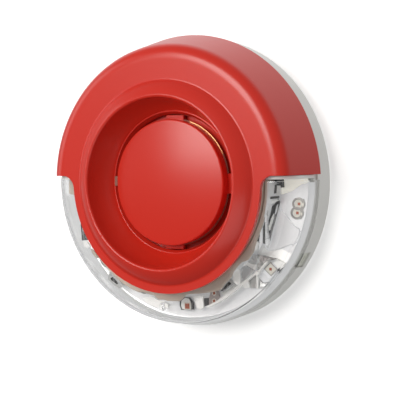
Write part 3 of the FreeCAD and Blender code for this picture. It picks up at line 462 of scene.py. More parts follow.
chain = [full(r, d) for r, d in F + B]
cols = UP + LOW
for A_, B_ in zip(chain, chain[1:]):
    for j in range(cols):
        k = (j + 1) % cols
        quad(bm, A_[j], A_[k], B_[k], B_[j])
for j in range(UP, cols):
    k = (j + 1) % cols
    quad(bm, chain[0][j], chain[0][k], chain[-1][k], chain[-1][j])
ho = [row(r, d, True) for r, d in H_OUT] + [chain[0][: UP + 1]]
hi_ = [row(r, d, True) for r, d in H_IN] + [chain[-1][: UP + 1]]
for S in (ho, hi_):
    for A_, B_ in zip(S, S[1:]):
        for j in range(UP):
            quad(bm, A_[j], A_[j + 1], B_[j + 1], B_[j])
for j in range(UP):
    quad(bm, ho[0][j], ho[0][j + 1], hi_[0][j + 1], hi_[0][j])
for j in (0, UP):
    for i in range(len(ho) - 1):
        quad(bm, ho[i][j], ho[i + 1][j], hi_[i + 1][j], hi_[i][j])
bmesh.ops.recalc_face_normals(bm, faces=bm.faces[:])


def outline_edge(e):
    """Edges of the cut and of the lip, front and back, but not the throat."""
    a, b = e.verts
    for v in (a, b):
        r = math.hypot(v.co.x, v.co.z) / MM
        if r < LIP - 0.01:
            return False
    return True


bevel_sharp(bm, 50, 0.62, 4, outline_edge)
bmesh.ops.rotate(bm, verts=bm.verts[:], cent=(0, 0, 0), matrix=Matrix.Rotation(math.radians(-TURN), 3, "Y"))
cover = finish_mesh(bm, "red_cover_shell", "cover_red", "head", sharp=50)
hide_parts("red_cover")

# ------------------------------------------------------------------ centre disc
RISE = 2.3
crown_r = (28.6 ** 2 + RISE ** 2) / (2 * RISE)
crown = []
for i in range(26):
    r = 28.6 * i / 25
    crown.append((r, 34.2 - (crown_r - math.sqrt(crown_r ** 2 - r * r))))
rim = soften([crown[-3], (28.6, 34.2 - RISE), (28.25, 26.7), (26.6, 26.7), (26.6, 29.9), (20.0, 29.9)], [0.9, 0.35, 0.35, 0.3], 6)
loop = crown[:-3] + rim + [(10.0, 29.9), (0, 29.9)]
bm = bmesh.new()
turned(bm, loop, 200)


def block(bm, x0, x1, d0, d1, z0, z1, off=0.0, seg=2):
    vs = [bm.verts.new((x * MM, -d * MM, z * MM)) for x in (x0, x1) for d in (d0, d1) for z in (z0, z1)]
    for f in ((0, 1, 3, 2), (4, 6, 7, 5), (0, 4, 5, 1), (2, 3, 7, 6), (0, 2, 6, 4), (1, 5, 7, 3)):
        bm.faces.new([vs[i] for i in f])
    if off:
        es = list({e for v in vs for e in v.link_edges})
        bmesh.ops.bevel(bm, geom=es, offset=off * MM, segments=seg, profile=0.5, affect="EDGES")


block(bm, -4.65, 4.65, 25.2, 27.2, 27, 30.3, 0.3)
block(bm, -4.65, 4.65, 25.2, 27.2, -30.3, -27, 0.3)
block(bm, 27, 30.3, 25.2, 27.2, -4.6, 4.4, 0.3)
disc = finish_mesh(bm, "horn_centre_disc", "cover_red", "head", sharp=50)
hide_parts("horn_disc")
bm = bmesh.new()
block(bm, -31.8, -27, 28, 29.2, -2.4, 2.1, 0.35, 3)
finish_mesh(bm, "horn_disc_peg", "peg", "head", sharp=50)
# bead where the cap's skirt ends, gold on the upper-right arc as a painted glint
bm = bmesh.new()
def hoop(bm, radius, depth, thick, a0, a1, n):
    """Round bead following part of a circle, with closed ends."""
    rows = []
    for i in range(n + 1):
        deg = a0 + (a1 - a0) * i / n
        rows.append([bm.verts.new(at(radius + thick * math.cos(2 * math.pi * k / 12), deg, depth + thick * math.sin(2 * math.pi * k / 12))) for k in range(12)])
    for i in range(n):
        for k in range(12):
            j = (k + 1) % 12
            quad(bm, rows[i][k], rows[i][j], rows[i + 1][j], rows[i + 1][k])
    bm.faces.new(rows[0])
    bm.faces.new(list(reversed(rows[-1])))


hoop(bm, 28.45, 26.6, 0.36, 27, 74, 60)
bmesh.ops.recalc_face_normals(bm, faces=bm.faces[:])
finish_mesh(bm, "horn_disc_bead_painted_glint", "bead", "head", sharp=80)
# the rest of the same ring in the dark peg colour, as painted shade
bm = bmesh.new()
hoop(bm, 28.4, 26.6, 0.34, 74.2, 386.8, 240)
bmesh.ops.recalc_face_normals(bm, faces=bm.faces[:])
finish_mesh(bm, "horn_disc_hem_painted_shade", "peg", "head", sharp=80)

# ------------------------------------------------------------------ clear lens
lens_out = [(66.4, 11.9), (66.05, 13.9), (65.7, 15.9), (65.2, 18.9)] + bulged((64.7, 21.8), (52.5, 33.9), 12.2, 36, (1, 1)) + [(50.2, 33.9), (47.8, 33.9)]
lens_in = [(65.2, 11.9), (64.85, 13.9), (64.5, 15.9), (64.0, 18.9)] + bulged((63.5, 21.8), (52.5, 32.7), 11.0, 36, (1, 1)) + [(50.2, 32.7), (47.8, 32.7)]
bm = bmesh.new()
end = lambda r: math.degrees(math.asin(1.35 / r))
shell(bm, lens_out, lens_in, lambda r: -180 - end(r), lambda r: end(r), 200)
bevel_sharp(bm, 55, 0.22, 2)
bmesh.ops.rotate(bm, verts=bm.verts[:], cent=(0, 0, 0), matrix=Matrix.Rotation(math.radians(-0.5), 3, "Y"))
lens = finish_mesh(bm, "clear_lens_shell", "clear_pc", "head", sharp=60)
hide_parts("clear_lens")

# flat flange that closes the top of the lens under the hood
flange = [(64.9, 14.0)] + [p for p in bulged((64.3, 21.6), (52.4, 33.5), 12.0, 14, (1, 1))] + [(50.4, 33.5), (50.4, 27.0), (54.0, 24.0), (58.0, 18.5), (58.0, 14.0)]
bm = bmesh.new()
for side in (1, -1):
    up_ = [bm.verts.new((side * x * MM, -d * MM, 2.9 * MM)) for x, d in flange]
    dn = [bm.verts.new((side * x * MM, -d * MM, 1.35 * MM)) for x, d in flange]
    n = len(up_)
    bm.faces.new(up_)
    bm.faces.new(list(reversed(dn)))
    for i in range(n):
        k = (i + 1) % n
        bm.faces.new([up_[i], dn[i], dn[k], up_[k]])
bmesh.ops.rotate(bm, verts=bm.verts[:], cent=(0, 0, 0), matrix=Matrix.Rotation(math.radians(-TURN), 3, "Y"))
bmesh.ops.recalc_face_normals(bm, faces=bm.faces[:])
bevel_sharp(bm, 50, 0.15, 2)
finish_mesh(bm, "lens_flange", "flange", "head", sharp=40)

# ------------------------------------------------------------------ reflector bed and light chamber
bm = bmesh.new()
top = lambda r: math.degrees(math.asin(0.9 / r))
shell(bm, [(48.0, 26.8), (48.0, 17.6), (48.0, 15.3), (55, 15.3), (62.4, 15.3)], [(48.9, 26.8), (48.9, 17.6), (49.4, 16.4), (55, 16.3), (62.4, 15.9)], lambda r: -180 - top(r), lambda r: top(r), 160)
shell(bm, [(64.5, 13.6), (63.9, 14.6), (63.1, 15.6), (62.8, 16.6)], [(62.45, 13.6), (62.45, 14.6), (62.3, 15.6), (62.2, 16.4)], lambda r: -180 - top(r), lambda r: top(r), 160)
bed = finish_mesh(bm, "reflector_bed", "reflector_chrome", "head", sharp=30)
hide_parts("reflector")

# Grey-brown chamber ledge just outside the lip, with its stepped outer edge; the grey-brown is painted shade and red
# bounce light on white plastic.
LEDGE = [(2.1, 48.9), (-6.8, 49.0), (-15.1, 49.4), (-19.8, 49.7), (-26.9, 49.9), (-31.4, 50.3), (-36.5, 51.6), (-41.3, 51.7), (-44.9, 50.2), (-48.0, 50.1), (-52.2, 50.7), (-54.6, 51.9), (-59.2, 52.6), (-63.5, 54.1), (-68.4, 53.3), (-71.9, 52.8), (-76.5, 52.1), (-80.0, 51.8), (-83.6, 51.9), (-85.8, 53.4), (-87.3, 54.3), (-90.7, 54.3), (-94.2, 54.6), (-95.9, 54.3), (-99.3, 54.8), (-101.9, 53.5), (-105.5, 53.7), (-109.1, 54.0), (-110.6, 54.9), (-114.2, 55.2), (-117.9, 55.4), (-120.0, 55.6), (-124.2, 55.6), (-129.9, 55.4), (-134.1, 55.5), (-138.2, 55.5), (-140.3, 55.4), (-144.5, 55.2), (-150.0, 54.0), (-158.0, 53.0), (-168.0, 52.5), (-176.0, 52.5), (-182.0, 52.3)]
bm = bmesh.new()
tv, bv = [], []
for deg, r in LEDGE:
    r -= 0.6 if deg > -85 else 0.2
    tv.append([bm.verts.new(at(q, deg, d)) for q, d in ((48.1, 27.9), (r - 0.5, 27.5), (r, 27.0))])
    bv.append([bm.verts.new(at(q, deg, d)) for q, d in ((48.1, 26.3), (r - 0.5, 26.1), (r, 26.1))])
for i in range(len(LEDGE) - 1):
    for k in (0, 1):
        quad(bm, tv[i][k], tv[i][k + 1], tv[i + 1][k + 1], tv[i + 1][k])
        quad(bm, bv[i][k], bv[i][k + 1], bv[i + 1][k + 1], bv[i + 1][k])
    quad(bm, tv[i][2], bv[i][2], bv[i + 1][2], tv[i + 1][2])
    quad(bm, tv[i][0], bv[i][0], bv[i + 1][0], tv[i + 1][0])
for i in (0, len(LEDGE) - 1):
    bm.faces.new([tv[i][0], tv[i][1], tv[i][2], bv[i][2], bv[i][1], bv[i][0]])
ledge = finish_mesh(bm, "chamber_ledge", "ring_grey", "head", sharp=35)

# Facets of the reflector, each a thin plate on the bed (x, z, depth in mm); their dark streaks, bright slivers and
# lighter and darker neighbours are painted reflection and shade.
PANELS = [
    ('facet_a', 'chrome', [(49.4, -6.1, 19.0), (51.8, -4.7, 18.6), (56.0, -2.8, 18.0), (59.7, -0.1, 17.4), (63.0, 1.5, 16.9), (63.0, 1.7, 16.6), (62.6, -6.8, 16.4), (61.4, -14.1, 16.5), (59.4, -21.0, 16.7), (58.6, -19.6, 17.2), (56.3, -17.9, 17.6), (54.0, -14.8, 18.0), (50.8, -11.4, 18.6), (49.9, -8.7, 18.8)]),
    ('plate_cream', 'plate', [(50.3, 2.4, 17.8), (62.8, 2.6, 17.6), (63.0, 1.1, 17.4), (59.7, -0.1, 17.4), (55.5, -2.9, 17.1), (49.9, -4.6, 17.0)]),
    ('facet_b', 'chrome', [(51.0, -11.8, 19.0), (54.2, -15.3, 18.3), (56.4, -18.3, 17.8), (58.7, -20.0, 17.4), (58.1, -23.2, 17.2), (55.5, -26.4, 17.1), (49.6, -28.8, 17.5), (43.8, -29.9, 17.9), (48.3, -17.2, 18.7), (50.2, -12.7, 19.0)]),
    ('facet_b2', 'chrome', [(58.4, -20.1, 16.4), (59.2, -21.6, 15.9), (57.9, -24.8, 16.7), (56.1, -26.4, 17.3), (58.0, -23.2, 16.7)]),
    ('facet_strip', 'chrome', [(49.9, -9.6, 18.9), (50.7, -11.6, 19.0), (49.9, -12.7, 18.9), (48.1, -17.2, 18.7), (43.7, -29.9, 18.3), (41.8, -28.6, 18.1), (44.0, -24.5, 18.3), (46.7, -18.6, 18.6), (48.8, -12.7, 18.8)]),
    ('apron_right', 'cream', [(40.2, -27.0, 17.1), (41.3, -28.9, 17.2), (43.3, -30.2, 17.2), (49.0, -29.3, 16.3), (54.6, -26.9, 15.4), (57.9, -24.7, 14.7), (54.1, -32.3, 16.0), (51.3, -34.8, 16.7), (44.5, -33.0, 17.3), (38.1, -31.5, 17.9)]),
    ('streak_a', 'darkgrey', [(49.9, -6.6, 20.9), (50.3, -8.0, 20.0), (48.9, -13.1, 20.0), (46.1, -22.3, 20.3), (45.4, -25.5, 20.2), (45.0, -25.2, 20.7), (45.4, -21.2, 21.5), (45.6, -17.1, 22.4), (46.3, -11.7, 23.4), (47.4, -10.2, 22.5), (48.8, -8.9, 21.4)]),
    ('sliver_a1', 'cream', [(48.4, -13.1, 21.7), (47.8, -15.7, 21.5), (46.2, -20.6, 21.8), (46.3, -18.9, 22.3), (47.4, -15.3, 22.2)]),
    ('sliver_a2', 'satin', [(50.0, -9.7, 22.1), (50.4, -9.0, 21.8), (49.6, -12.1, 21.7), (49.1, -13.3, 21.9)]),
    ('streak_c', 'darkgrey', [(45.4, -15.6, 25.8), (46.2, -14.4, 25.5), (45.5, -21.5, 24.0), (44.6, -26.6, 23.1), (44.2, -26.2, 23.6)]),
    ('column_grey', 'satin', [(46.8, -13.3, 26.3), (47.7, -11.5, 26.1), (46.7, -21.4, 23.9), (46.7, -25.3, 22.8), (45.7, -28.4, 22.6), (45.2, -26.8, 23.5)]),
    ('column_light', 'satin_light', [(44.8, -16.5, 26.3), (45.4, -15.9, 26.1), (44.2, -26.4, 23.8), (42.3, -29.6, 23.9), (43.0, -25.0, 24.9)]),
    ('streak_b', 'darkgrey', [(44.1, -18.2, 26.3), (44.7, -16.7, 26.2), (43.7, -23.3, 24.8), (42.0, -28.2, 24.3), (41.7, -26.4, 25.1), (42.4, -22.8, 25.7)]),
    ('sliver_b', 'cream', [(42.6, -25.3, 26.2), (43.2, -25.9, 25.6), (42.3, -28.6, 25.4), (41.1, -29.8, 25.7), (41.5, -27.7, 26.1)]),
    ('slit', 'darkgrey', [(50.5, -0.1, 24.2), (51.2, -0.1, 24.2), (50.8, -4.0, 24.2), (50.0, -4.1, 24.2)]),
    ('patch_white', 'cream', [(47.1, -7.2, 24.3), (49.9, -6.8, 21.5), (50.5, -7.1, 21.1), (48.6, -8.6, 22.3), (46.9, -9.0, 23.4), (46.4, -11.0, 24.0), (46.9, -8.8, 24.4)]),
    ('bar_dark', 'black', [(48.0, -5.5, 24.9), (51.6, -5.1, 23.1), (51.6, -6.2, 23.1), (48.0, -6.6, 24.9)]),
    ('wall_brown', 'brown', [(47.7, 0.7, 23.8), (47.7, 2.0, 22.4), (47.8, 3.1, 20.7), (48.0, -4.7, 20.5), (47.4, -5.2, 21.7), (47.4, -5.7, 22.2), (47.2, -6.7, 23.2), (47.5, -4.0, 23.9)]),
    ('bar_white', 'cream', [(48.8, -0.7, 20.0), (51.0, -0.7, 20.0), (51.0, -4.7, 20.0), (49.8, -5.1, 20.0), (48.8, -5.1, 20.0)]),
    ('square_chrome', 'satin', [(36.0, -32.0, 20.5), (39.4, -31.7, 21.1), (39.6, -35.1, 20.1), (38.4, -36.1, 19.7), (35.5, -35.8, 19.3), (33.4, -35.1, 19.2)]),
    ('petal_white', 'cream', [(27.3, -40.7, 21.3), (28.9, -38.7, 20.7), (30.4, -39.3, 20.4), (30.7, -41.9, 20.6), (31.0, -45.3, 20.9), (29.2, -45.6, 21.4), (27.8, -44.5, 21.6)]),
    ('petal_grey', 'satin', [(30.1, -38.0, 19.2), (33.9, -37.0, 20.5), (38.1, -38.8, 22.0), (36.3, -41.2, 21.5), (30.9, -44.4, 19.8), (30.0, -42.1, 19.4)]),
    ('petal_back', 'cream', [(28.9, -38.0, 20.0), (31.2, -36.1, 20.0), (33.8, -35.2, 20.0), (35.9, -35.9, 20.0), (38.6, -36.4, 20.0), (38.0, -38.8, 20.0), (37.0, -38.9, 20.0), (33.8, -36.8, 20.0), (30.5, -37.7, 20.0)]),
    ('mottled', 'mottle', [(39.2, -31.9, 19.5), (42.6, -32.0, 19.9), (49.5, -33.3, 20.3), (45.0, -34.3, 19.8), (43.3, -34.8, 19.5), (38.3, -38.8, 18.4), (38.0, -36.5, 18.7), (39.1, -35.1, 19.0)]),
    ('led_panel', 'satin_light', [(43.9, -35.0, 19.5), (46.5, -35.3, 19.2), (48.1, -36.6, 18.8), (47.5, -39.7, 18.5), (44.3, -43.7, 18.5), (41.6, -44.3, 18.7), (39.6, -42.1, 19.2), (39.1, -40.1, 19.5)]),
    ('wing_right', 'cream', [(48.5, -33.7, 18.2), (51.8, -35.0, 17.9), (50.5, -36.8, 18.0), (48.5, -38.0, 18.2), (47.9, -36.4, 18.3), (46.3, -35.2, 18.5)]),
    ('sliver_dark', 'darkgrey', [(48.2, -37.6, 17.6), (50.1, -37.1, 17.6), (48.1, -39.7, 17.6)]),
    ('tri_left', 'satin_mid', [(37.0, -41.2, 18.4), (37.9, -41.3, 18.7), (38.8, -46.8, 20.0), (35.3, -46.8, 19.0), (33.4, -44.3, 17.9)]),
    ('tri_right', 'satin_mid', [(38.5, -41.3, 18.6), (39.2, -42.4, 18.7), (41.4, -44.5, 18.7), (43.8, -44.2, 18.0), (42.3, -46.3, 18.9), (39.4, -46.9, 19.8)]),
    # bright plate as a painted glint
    ('sparkle', 'cream', [(32.0, -45.6, 20.7), (34.6, -43.6, 20.5), (35.2, -46.8, 19.4), (32.4, -47.2, 20.1)]),
    ('ridge_long', 'cream', [(37.4, -40.2, 20.0), (38.0, -40.9, 19.9), (31.8, -45.9, 20.6), (24.2, -51.7, 21.3), (19.0, -54.7, 21.8), (14.5, -56.8, 22.3), (13.8, -56.2, 22.4), (18.0, -54.0, 21.9), (22.9, -50.8, 21.4), (28.2, -46.8, 20.9), (31.3, -44.6, 20.6)]),
    ('ridge_up', 'cream', [(39.6, -39.5, 21.6), (44.7, -34.4, 21.6), (45.3, -34.8, 21.6), (40.4, -39.9, 21.6)]),
    ('ridge_down', 'cream', [(39.4, -40.1, 21.4), (40.1, -40.1, 21.4), (40.3, -46.8, 21.4), (39.7, -46.8, 21.4)]),
    ('hub', 'cream', [(39.1, -39.4, 22.4), (40.2, -38.9, 22.4), (41.3, -39.2, 22.4), (41.2, -40.2, 22.4), (40.2, -40.9, 22.4), (39.2, -40.5, 22.4)]),
    ('bed_lower', 'cream', [(19.2, -49.5, 18.0), (24.9, -45.4, 17.3), (26.7, -46.4, 17.3), (29.0, -45.7, 17.1), (26.8, -47.5, 17.4), (23.4, -50.0, 17.8), (20.7, -51.2, 18.1), (19.0, -50.1, 18.0)]),
    ('box_frame', 'cream', [(24.3, -49.0, 20.6), (27.3, -46.6, 20.6), (29.0, -47.2, 20.6), (26.1, -49.7, 20.6)]),
    ('box_well', 'darkgrey', [(25.5, -48.8, 20.8), (27.5, -47.1, 20.8), (28.3, -47.4, 20.8), (26.3, -49.1, 20.8)]),
    ('window_frame', 'satin', [(18.9, -49.5, 19.4), (25.4, -42.9, 20.7), (26.4, -43.6, 20.7), (27.3, -45.2, 20.6), (20.7, -49.6, 19.6)]),
    ('window_dark', 'streak', [(20.5, -48.8, 20.5), (25.2, -43.8, 20.5), (26.2, -45.3, 20.5), (21.5, -48.9, 20.5)]),
    ('pair_plate', 'pinkgrey', [(13.2, -52.2, 18.6), (13.8, -49.7, 18.6), (17.7, -49.1, 18.6), (18.6, -51.7, 18.6), (17.5, -53.6, 18.6), (15.4, -55.1, 18.6), (13.1, -55.9, 18.6), (12.9, -52.8, 18.6)]),
    ('patch_dark', 'darkgrey', [(10.5, -52.9, 18.8), (13.1, -52.6, 18.8), (13.1, -55.8, 18.8), (10.9, -56.6, 18.8)]),
    ('panel_curved', 'cream', [(5.0, -52.6, 19.6), (6.7, -51.9, 19.3), (10.1, -51.8, 18.7), (10.6, -56.9, 19.2), (9.0, -58.5, 19.6), (7.2, -57.6, 19.8), (6.2, -55.0, 19.7)]),
    ('led_box', 'darkgrey', [(-2.8, -54.7, 18.4), (-0.4, -53.0, 18.4), (2.3, -53.1, 18.4), (4.3, -55.5, 18.4), (4.5, -58.5, 18.4), (-2.0, -59.1, 18.4), (-2.9, -57.0, 18.4)]),
    ('led_box_face', 'cream', [(-1.8, -54.9, 18.7), (0.1, -53.3, 18.7), (2.2, -53.5, 18.7), (3.5, -55.7, 18.7), (3.6, -58.2, 18.7), (-1.3, -58.7, 18.7), (-2.0, -57.0, 18.7)]),
    ('panel_left', 'cream', [(-23.4, -54.9, 18.5), (-18.0, -53.6, 18.4), (-15.1, -55.4, 18.5), (-11.2, -55.7, 18.5), (-10.2, -57.9, 18.7), (-9.2, -59.0, 18.8), (-16.0, -58.6, 18.8), (-21.1, -56.8, 18.6)]),
    ('window2_frame', 'satin_mid', [(-41.0, -46.7, 21.6), (-39.5, -43.0, 22.1), (-37.1, -43.3, 22.3), (-32.9, -48.1, 22.2), (-31.5, -49.2, 22.3), (-34.3, -50.6, 21.9), (-37.6, -49.1, 21.7)]),
    ('window2_dark', 'streak', [(-38.9, -45.9, 22.3), (-37.3, -45.3, 22.3), (-34.6, -48.2, 22.3), (-35.4, -48.7, 22.3), (-38.5, -46.9, 22.3)]),
    ('bracket_left', 'brown', [(-61.6, -0.1, 24.0), (-59.3, -0.4, 24.0), (-57.5, -3.5, 24.0), (-56.7, -8.6, 24.0), (-58.5, -7.4, 24.0), (-61.6, -7.0, 24.0)]),
    ('streak_left', 'streak', [(-54.8, -18.2, 23.6), (-53.6, -20.3, 23.6), (-51.9, -24.9, 23.6), (-51.2, -28.4, 23.6), (-54.4, -28.9, 23.6), (-54.7, -24.1, 23.6)]),
    # bright plate as a painted glint
    ('sparkle_left', 'cream', [(-53.9, -29.2, 23.3), (-50.9, -28.8, 24.2), (-48.7, -31.4, 24.4), (-51.6, -32.5, 23.3), (-53.6, -31.8, 22.8)]),
    ('clip_left', 'brown', [(-49.0, -32.3, 24.0), (-47.3, -33.2, 24.0), (-44.1, -36.8, 24.0), (-46.1, -36.6, 24.0), (-48.1, -34.6, 24.0)]),
]
DOME = (44.96, -3.12, 20.8)
KIND = {"chrome": "reflector_chrome", "cream": "bright"}
by_mat = {}
for nm, kind, pts in PANELS:
    by_mat.setdefault(kind, []).append((nm, pts))
THICK = {"hub": 2.4, "ridge_long": 1.6, "ridge_up": 1.6, "ridge_down": 1.6, "box_frame": 2.2, "petal_white": 2.2, "petal_grey": 2.0, "square_chrome": 1.8}
for kind, items in by_mat.items():
    bm = bmesh.new()
    for nm, pts in items:
        t = THICK.get(nm, 1.1)
        part = bmesh.new()
        a = [part.verts.new((x * MM, -d * MM, z * MM)) for x, z, d in pts]
        b = [part.verts.new((x * MM, -(d - t) * MM, z * MM)) for x, z, d in pts]
        n = len(a)
        part.faces.new(a)
        part.faces.new(list(reversed(b)))
        for i in range(n):
            k = (i + 1) % n
            part.faces.new([a[i], b[i], b[k], a[k]])
        bmesh.ops.recalc_face_normals(part, faces=part.faces[:])
        es = [e for e in part.edges if e.verts[0] in a and e.verts[1] in a]
        bmesh.ops.bevel(part, geom=es, offset=0.16 * MM, segments=2, profile=0.5, affect="EDGES", clamp_overlap=True)
        bmesh.ops.triangulate(part, faces=[f for f in part.faces if len(f.verts) > 4])
        tmp = bpy.data.meshes.new("tmp")
        part.to_mesh(tmp)
        part.free()
        bm.from_mesh(tmp)
        bpy.data.meshes.remove(tmp)
    o = finish_mesh(bm, "reflector_facets_" + kind, KIND.get(kind, kind), "head", sharp=28)

# ------------------------------------------------------------------ LEDs
# x, z, depth, tilt of the seat in x and z, kind
LEDS = [(59.00, -8.70, 17.37, -0.160, 0.020, "round"), (58.23, -12.70, 17.42, -0.160, 0.020, "round"),
        (45.61, -37.96, 18.98, -0.120, 0.120, "square"),
        (15.89, -50.33, 18.60, 0.0, 0.0, "bare"), (15.90, -53.88, 18.60, 0.0, 0.0, "bare"), (1.67, -57.02, 18.70, 0.0, 0.0, "big"),
        (-23.0, -50.0, 17.6, 0.10, 0.10, "round"), (-44.5, -38.5, 17.8, 0.12, 0.12, "round"),
        (-57.6, -8.7, 17.6, 0.16, 0.02, "round"), (-57.0, -12.7, 17.6, 0.16, 0.02, "round")]
seats, packs, dies = bmesh.new(), bmesh.new(), bmesh.new()


def local(x, z, d, gx, gz):
    nrm = Vector((-gx, -1.0, -gz)).normalized()
    q = Vector((0, -1, 0)).rotation_difference(nrm)
    return Matrix.Translation(Vector((x, -d, z)) * MM) @ q.to_matrix().to_4x4()


def prism(bm, mx, ring_pts, h0, h1, bev=0.0, seg=2):
    """Extrude a convex outline (u, w) from height h0 to h1 in the seat's own frame."""
    a = [bm.verts.new(mx @ (Vector((u, -h1, w)) * MM)) for u, w in ring_pts]
    b = [bm.verts.new(mx @ (Vector((u, -h0, w)) * MM)) for u, w in ring_pts]
    n = len(a)
    bm.faces.new(a)
    bm.faces.new(list(reversed(b)))
    for i in range(n):
        k = (i + 1) % n
        bm.faces.new([a[i], b[i], b[k], a[k]])
    if bev:
        es = [e for e in {e for v in a for e in v.link_edges} if e.verts[0] in a and e.verts[1] in a]
        bmesh.ops.bevel(bm, geom=es, offset=bev * MM, segments=seg, profile=0.5, affect="EDGES")


def hoop(bm, mx, r0, r1, h0, h1, n=36, square=0.0):
    """Raised collar round a seat."""
    rows = []
    for r, h in ((r1, h0), (r1 - 0.08, h1 - 0.05), (r1 - 0.2, h1), (r0 + 0.15, h1), (r0, h1 - 0.12), (r0, h0)):
        rows.append([bm.verts.new(mx @ (Vector((r * math.cos(2 * math.pi * k / n), -h, r * math.sin(2 * math.pi * k / n))) * MM)) for k in range(n)])
    for i in range(len(rows)):
        A_, B_ = rows[i], rows[(i + 1) % len(rows)]
        for k in range(n):
            quad(bm, A_[k], A_[(k + 1) % n], B_[(k + 1) % n], B_[k])


def circle(r, n=28):
    return [(r * math.cos(2 * math.pi * k / n), r * math.sin(2 * math.pi * k / n)) for k in range(n)]


def sq(s, turn=0.0):
    c, s_ = math.cos(math.radians(turn)), math.sin(math.radians(turn))
    return [((u * c - w * s_), (u * s_ + w * c)) for u, w in ((-s, -s), (s, -s), (s, s), (-s, s))]


for x, z, d, gx, gz, kind in LEDS:
    mx = local(x, z, d, gx, gz)
    if kind == "round":
        hoop(seats, mx @ Matrix.Translation((-0.0004, 0, 0)), 1.95, 2.9, -0.2, 0.22)
        prism(packs, mx, circle(2.02), -0.3, 0.08)
        prism(dies, mx, sq(0.62, 0), 0.05, 0.22, 0.06)
    elif kind == "square":
        prism(seats, mx, sq(2.35, 45), -0.3, 0.16, 0.1)
        prism(packs, mx, sq(1.95, 45), 0.0, 0.30, 0.1)
        prism(dies, mx, sq(0.62, 0), 0.25, 0.42, 0.06)
    elif kind == "bare":
        prism(packs, mx, circle(1.15), -0.2, 0.12, 0.06)
        prism(dies, mx, sq(0.62, 20), 0.1, 0.26, 0.06)
    else:
        prism(packs, mx, sq(1.75, 3), -0.2, 0.22, 0.12)
        prism(dies, mx, sq(1.22, 3), 0.18, 0.36, 0.08)
finish_mesh(seats, "led_seats", "seat_grey", "head", sharp=35)
o = finish_mesh(packs, "led_packages_seated", "led_ceramic", "head", sharp=35)
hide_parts("led_packages")
o = finish_mesh(dies, "led_dies_seated", "led_die", "head", sharp=35)
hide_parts("led_dies")

bm = bmesh.new()
PX, PZ, PD = DOME
dome = [(1.25 * math.cos(math.radians(a)), 1.25 * math.sin(math.radians(a))) for a in range(0, 91, 9)]
rows = []
for r, h in [(1.25, -1.6)] + dome:
    if r < 1e-3:
        v = bm.verts.new((PX * MM, -(PD + h) * MM, PZ * MM))
        rows.append([v] * 28)
    else:
        rows.append([bm.verts.new(((PX + r * math.cos(2 * math.pi * k / 28)) * MM, -(PD + h) * MM, (PZ + r * math.sin(2 * math.pi * k / 28)) * MM)) for k in range(28)])
for A_, B_ in zip(rows, rows[1:]):
    for k in range(28):
        quad(bm, A_[k], A_[(k + 1) % 28], B_[(k + 1) % 28], B_[k])
bm.faces.new(list(reversed(rows[0])))
finish_mesh(bm, "status_dome", "dome", "head", sharp=60)

# ------------------------------------------------------------------ wall, floor and light
def plane(name, verts):
    me = bpy.data.meshes.new(name)
    me.from_pydata(verts, [], [(0, 1, 2, 3)])
    o = bpy.data.objects.new(name, me)
    bpy.context.scene.collection.objects.link(o)
    return o


wall = plane("wall", [(-3, 0.0006, -0.9), (3, 0.0006, -0.9), (3, 0.0006, 3), (-3, 0.0006, 3)])
floor = plane("floor", [(-1.0, -1.0, -0.9), (1.0, -1.0, -0.9), (1.0, 1.0, -0.9), (-1.0, 1.0, -0.9)])


def stage_mat(name, one_sided, glow):
    m = Mat(name)
    m.set(Roughness=0.9, Base_Color=(0.9, 0.9, 0.9, 1), Emission_Color=(1, 1, 1, 1), Emission_Strength=glow)
    m.b.inputs["Specular IOR Level"].default_value = 0.0
    if one_sided:
        # seen only from the front, so that it neither hides the back nor takes the back's light
        lp = m.node("ShaderNodeLightPath")
        geo = m.node("ShaderNodeNewGeometry")
        inv = m.node("ShaderNodeMath", operation="SUBTRACT")
        inv.inputs[0].default_value = 1.0
        m.link(geo.outputs["Backfacing"], inv.inputs[1])
        mul = m.node("ShaderNodeMath", operation="MULTIPLY")
        m.link(inv.outputs[0], mul.inputs[0])
        m.link(lp.outputs["Is Camera Ray"], mul.inputs[1])
        tr = m.node("ShaderNodeBsdfTransparent")
        mix = m.node("ShaderNodeMixShader")
        m.link(mul.outputs[0], mix.inputs[0])
        m.link(tr.outputs[0], mix.inputs[1])
        m.link(m.b.outputs[0], mix.inputs[2])
        m.link(mix.outputs[0], m.out.inputs[0])
    return m.m


wall.data.materials.append(stage_mat("wall_white", True, 0.29))
floor.data.materials.append(stage_mat("floor_white", True, 0.0))

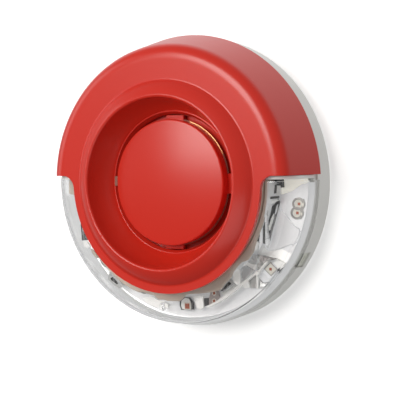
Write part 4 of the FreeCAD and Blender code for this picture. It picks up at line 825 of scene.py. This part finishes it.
WORLD_LOW, WORLD_HIGH = 0.16, 0.32
world = bpy.data.worlds.new("studio")
world.use_nodes = True
wt = world.node_tree
bg = wt.nodes["Background"]
bg.inputs[1].default_value = 1.0
co = wt.nodes.new("ShaderNodeTexCoord")
sep = wt.nodes.new("ShaderNodeSeparateXYZ")
wt.links.new(co.outputs["Generated"], sep.inputs[0])
def map_range(sock, lo, hi, a, b, smooth=False):
    n = wt.nodes.new("ShaderNodeMapRange")
    n.interpolation_type = "SMOOTHSTEP" if smooth else "LINEAR"
    n.inputs["From Min"].default_value, n.inputs["From Max"].default_value = lo, hi
    n.inputs["To Min"].default_value, n.inputs["To Max"].default_value = a, b
    wt.links.new(sock, n.inputs["Value"])
    return n.outputs[0]


def blend(fac, a, b):
    n = wt.nodes.new("ShaderNodeMix")
    n.data_type = "FLOAT"
    wt.links.new(fac, n.inputs["Factor"])
    for k, v in ((2, a), (3, b)):
        if isinstance(v, float):
            n.inputs[k].default_value = v
        else:
            wt.links.new(v, n.inputs[k])
    return n.outputs[0]


room = map_range(sep.outputs[2], -0.35, 0.35, WORLD_LOW, WORLD_HIGH)
behind = map_range(sep.outputs[2], -0.1, 0.7, 0.62, 1.30)
room = blend(map_range(sep.outputs[1], 0.0, 0.55, 0.0, 1.0, True), room, behind)
lp = wt.nodes.new("ShaderNodeLightPath")
room = blend(lp.outputs["Is Transmission Ray"], room, 0.66)
room = blend(lp.outputs["Is Camera Ray"], room, 1.0)
wt.links.new(room, bg.inputs[0])
bpy.context.scene.world = world


def area(name, loc, target, size, radiance, size_y=None, color=(1, 1, 1)):
    l = bpy.data.lights.new(name, "AREA")
    l.shape = "RECTANGLE"
    l.size, l.size_y = size, size_y or size
    l.energy = radiance * math.pi * l.size * l.size_y
    l.color = color
    o = bpy.data.objects.new(name, l)
    bpy.context.scene.collection.objects.link(o)
    o.location = loc
    o.rotation_mode = "QUATERNION"
    o.rotation_quaternion = (Vector(target) - Vector(loc)).to_track_quat("-Z", "Y")
    return o


def around(az, el, dist):
    a, e = math.radians(az), math.radians(el)
    return (dist * math.sin(a) * math.cos(e), -dist * math.cos(a) * math.cos(e), dist * math.sin(e))


area("key", around(-14, 19, 1.5), (0, 0, 0), 0.85, 7.4, 0.8, (1.0, 0.975, 0.95))
area("left", around(-68, 12, 1.6), (0, 0, 0), 0.8, 1.6, 1.0)
area("low", around(34, -30, 1.5), (0, 0, 0), 1.2, 1.12, 1.0)
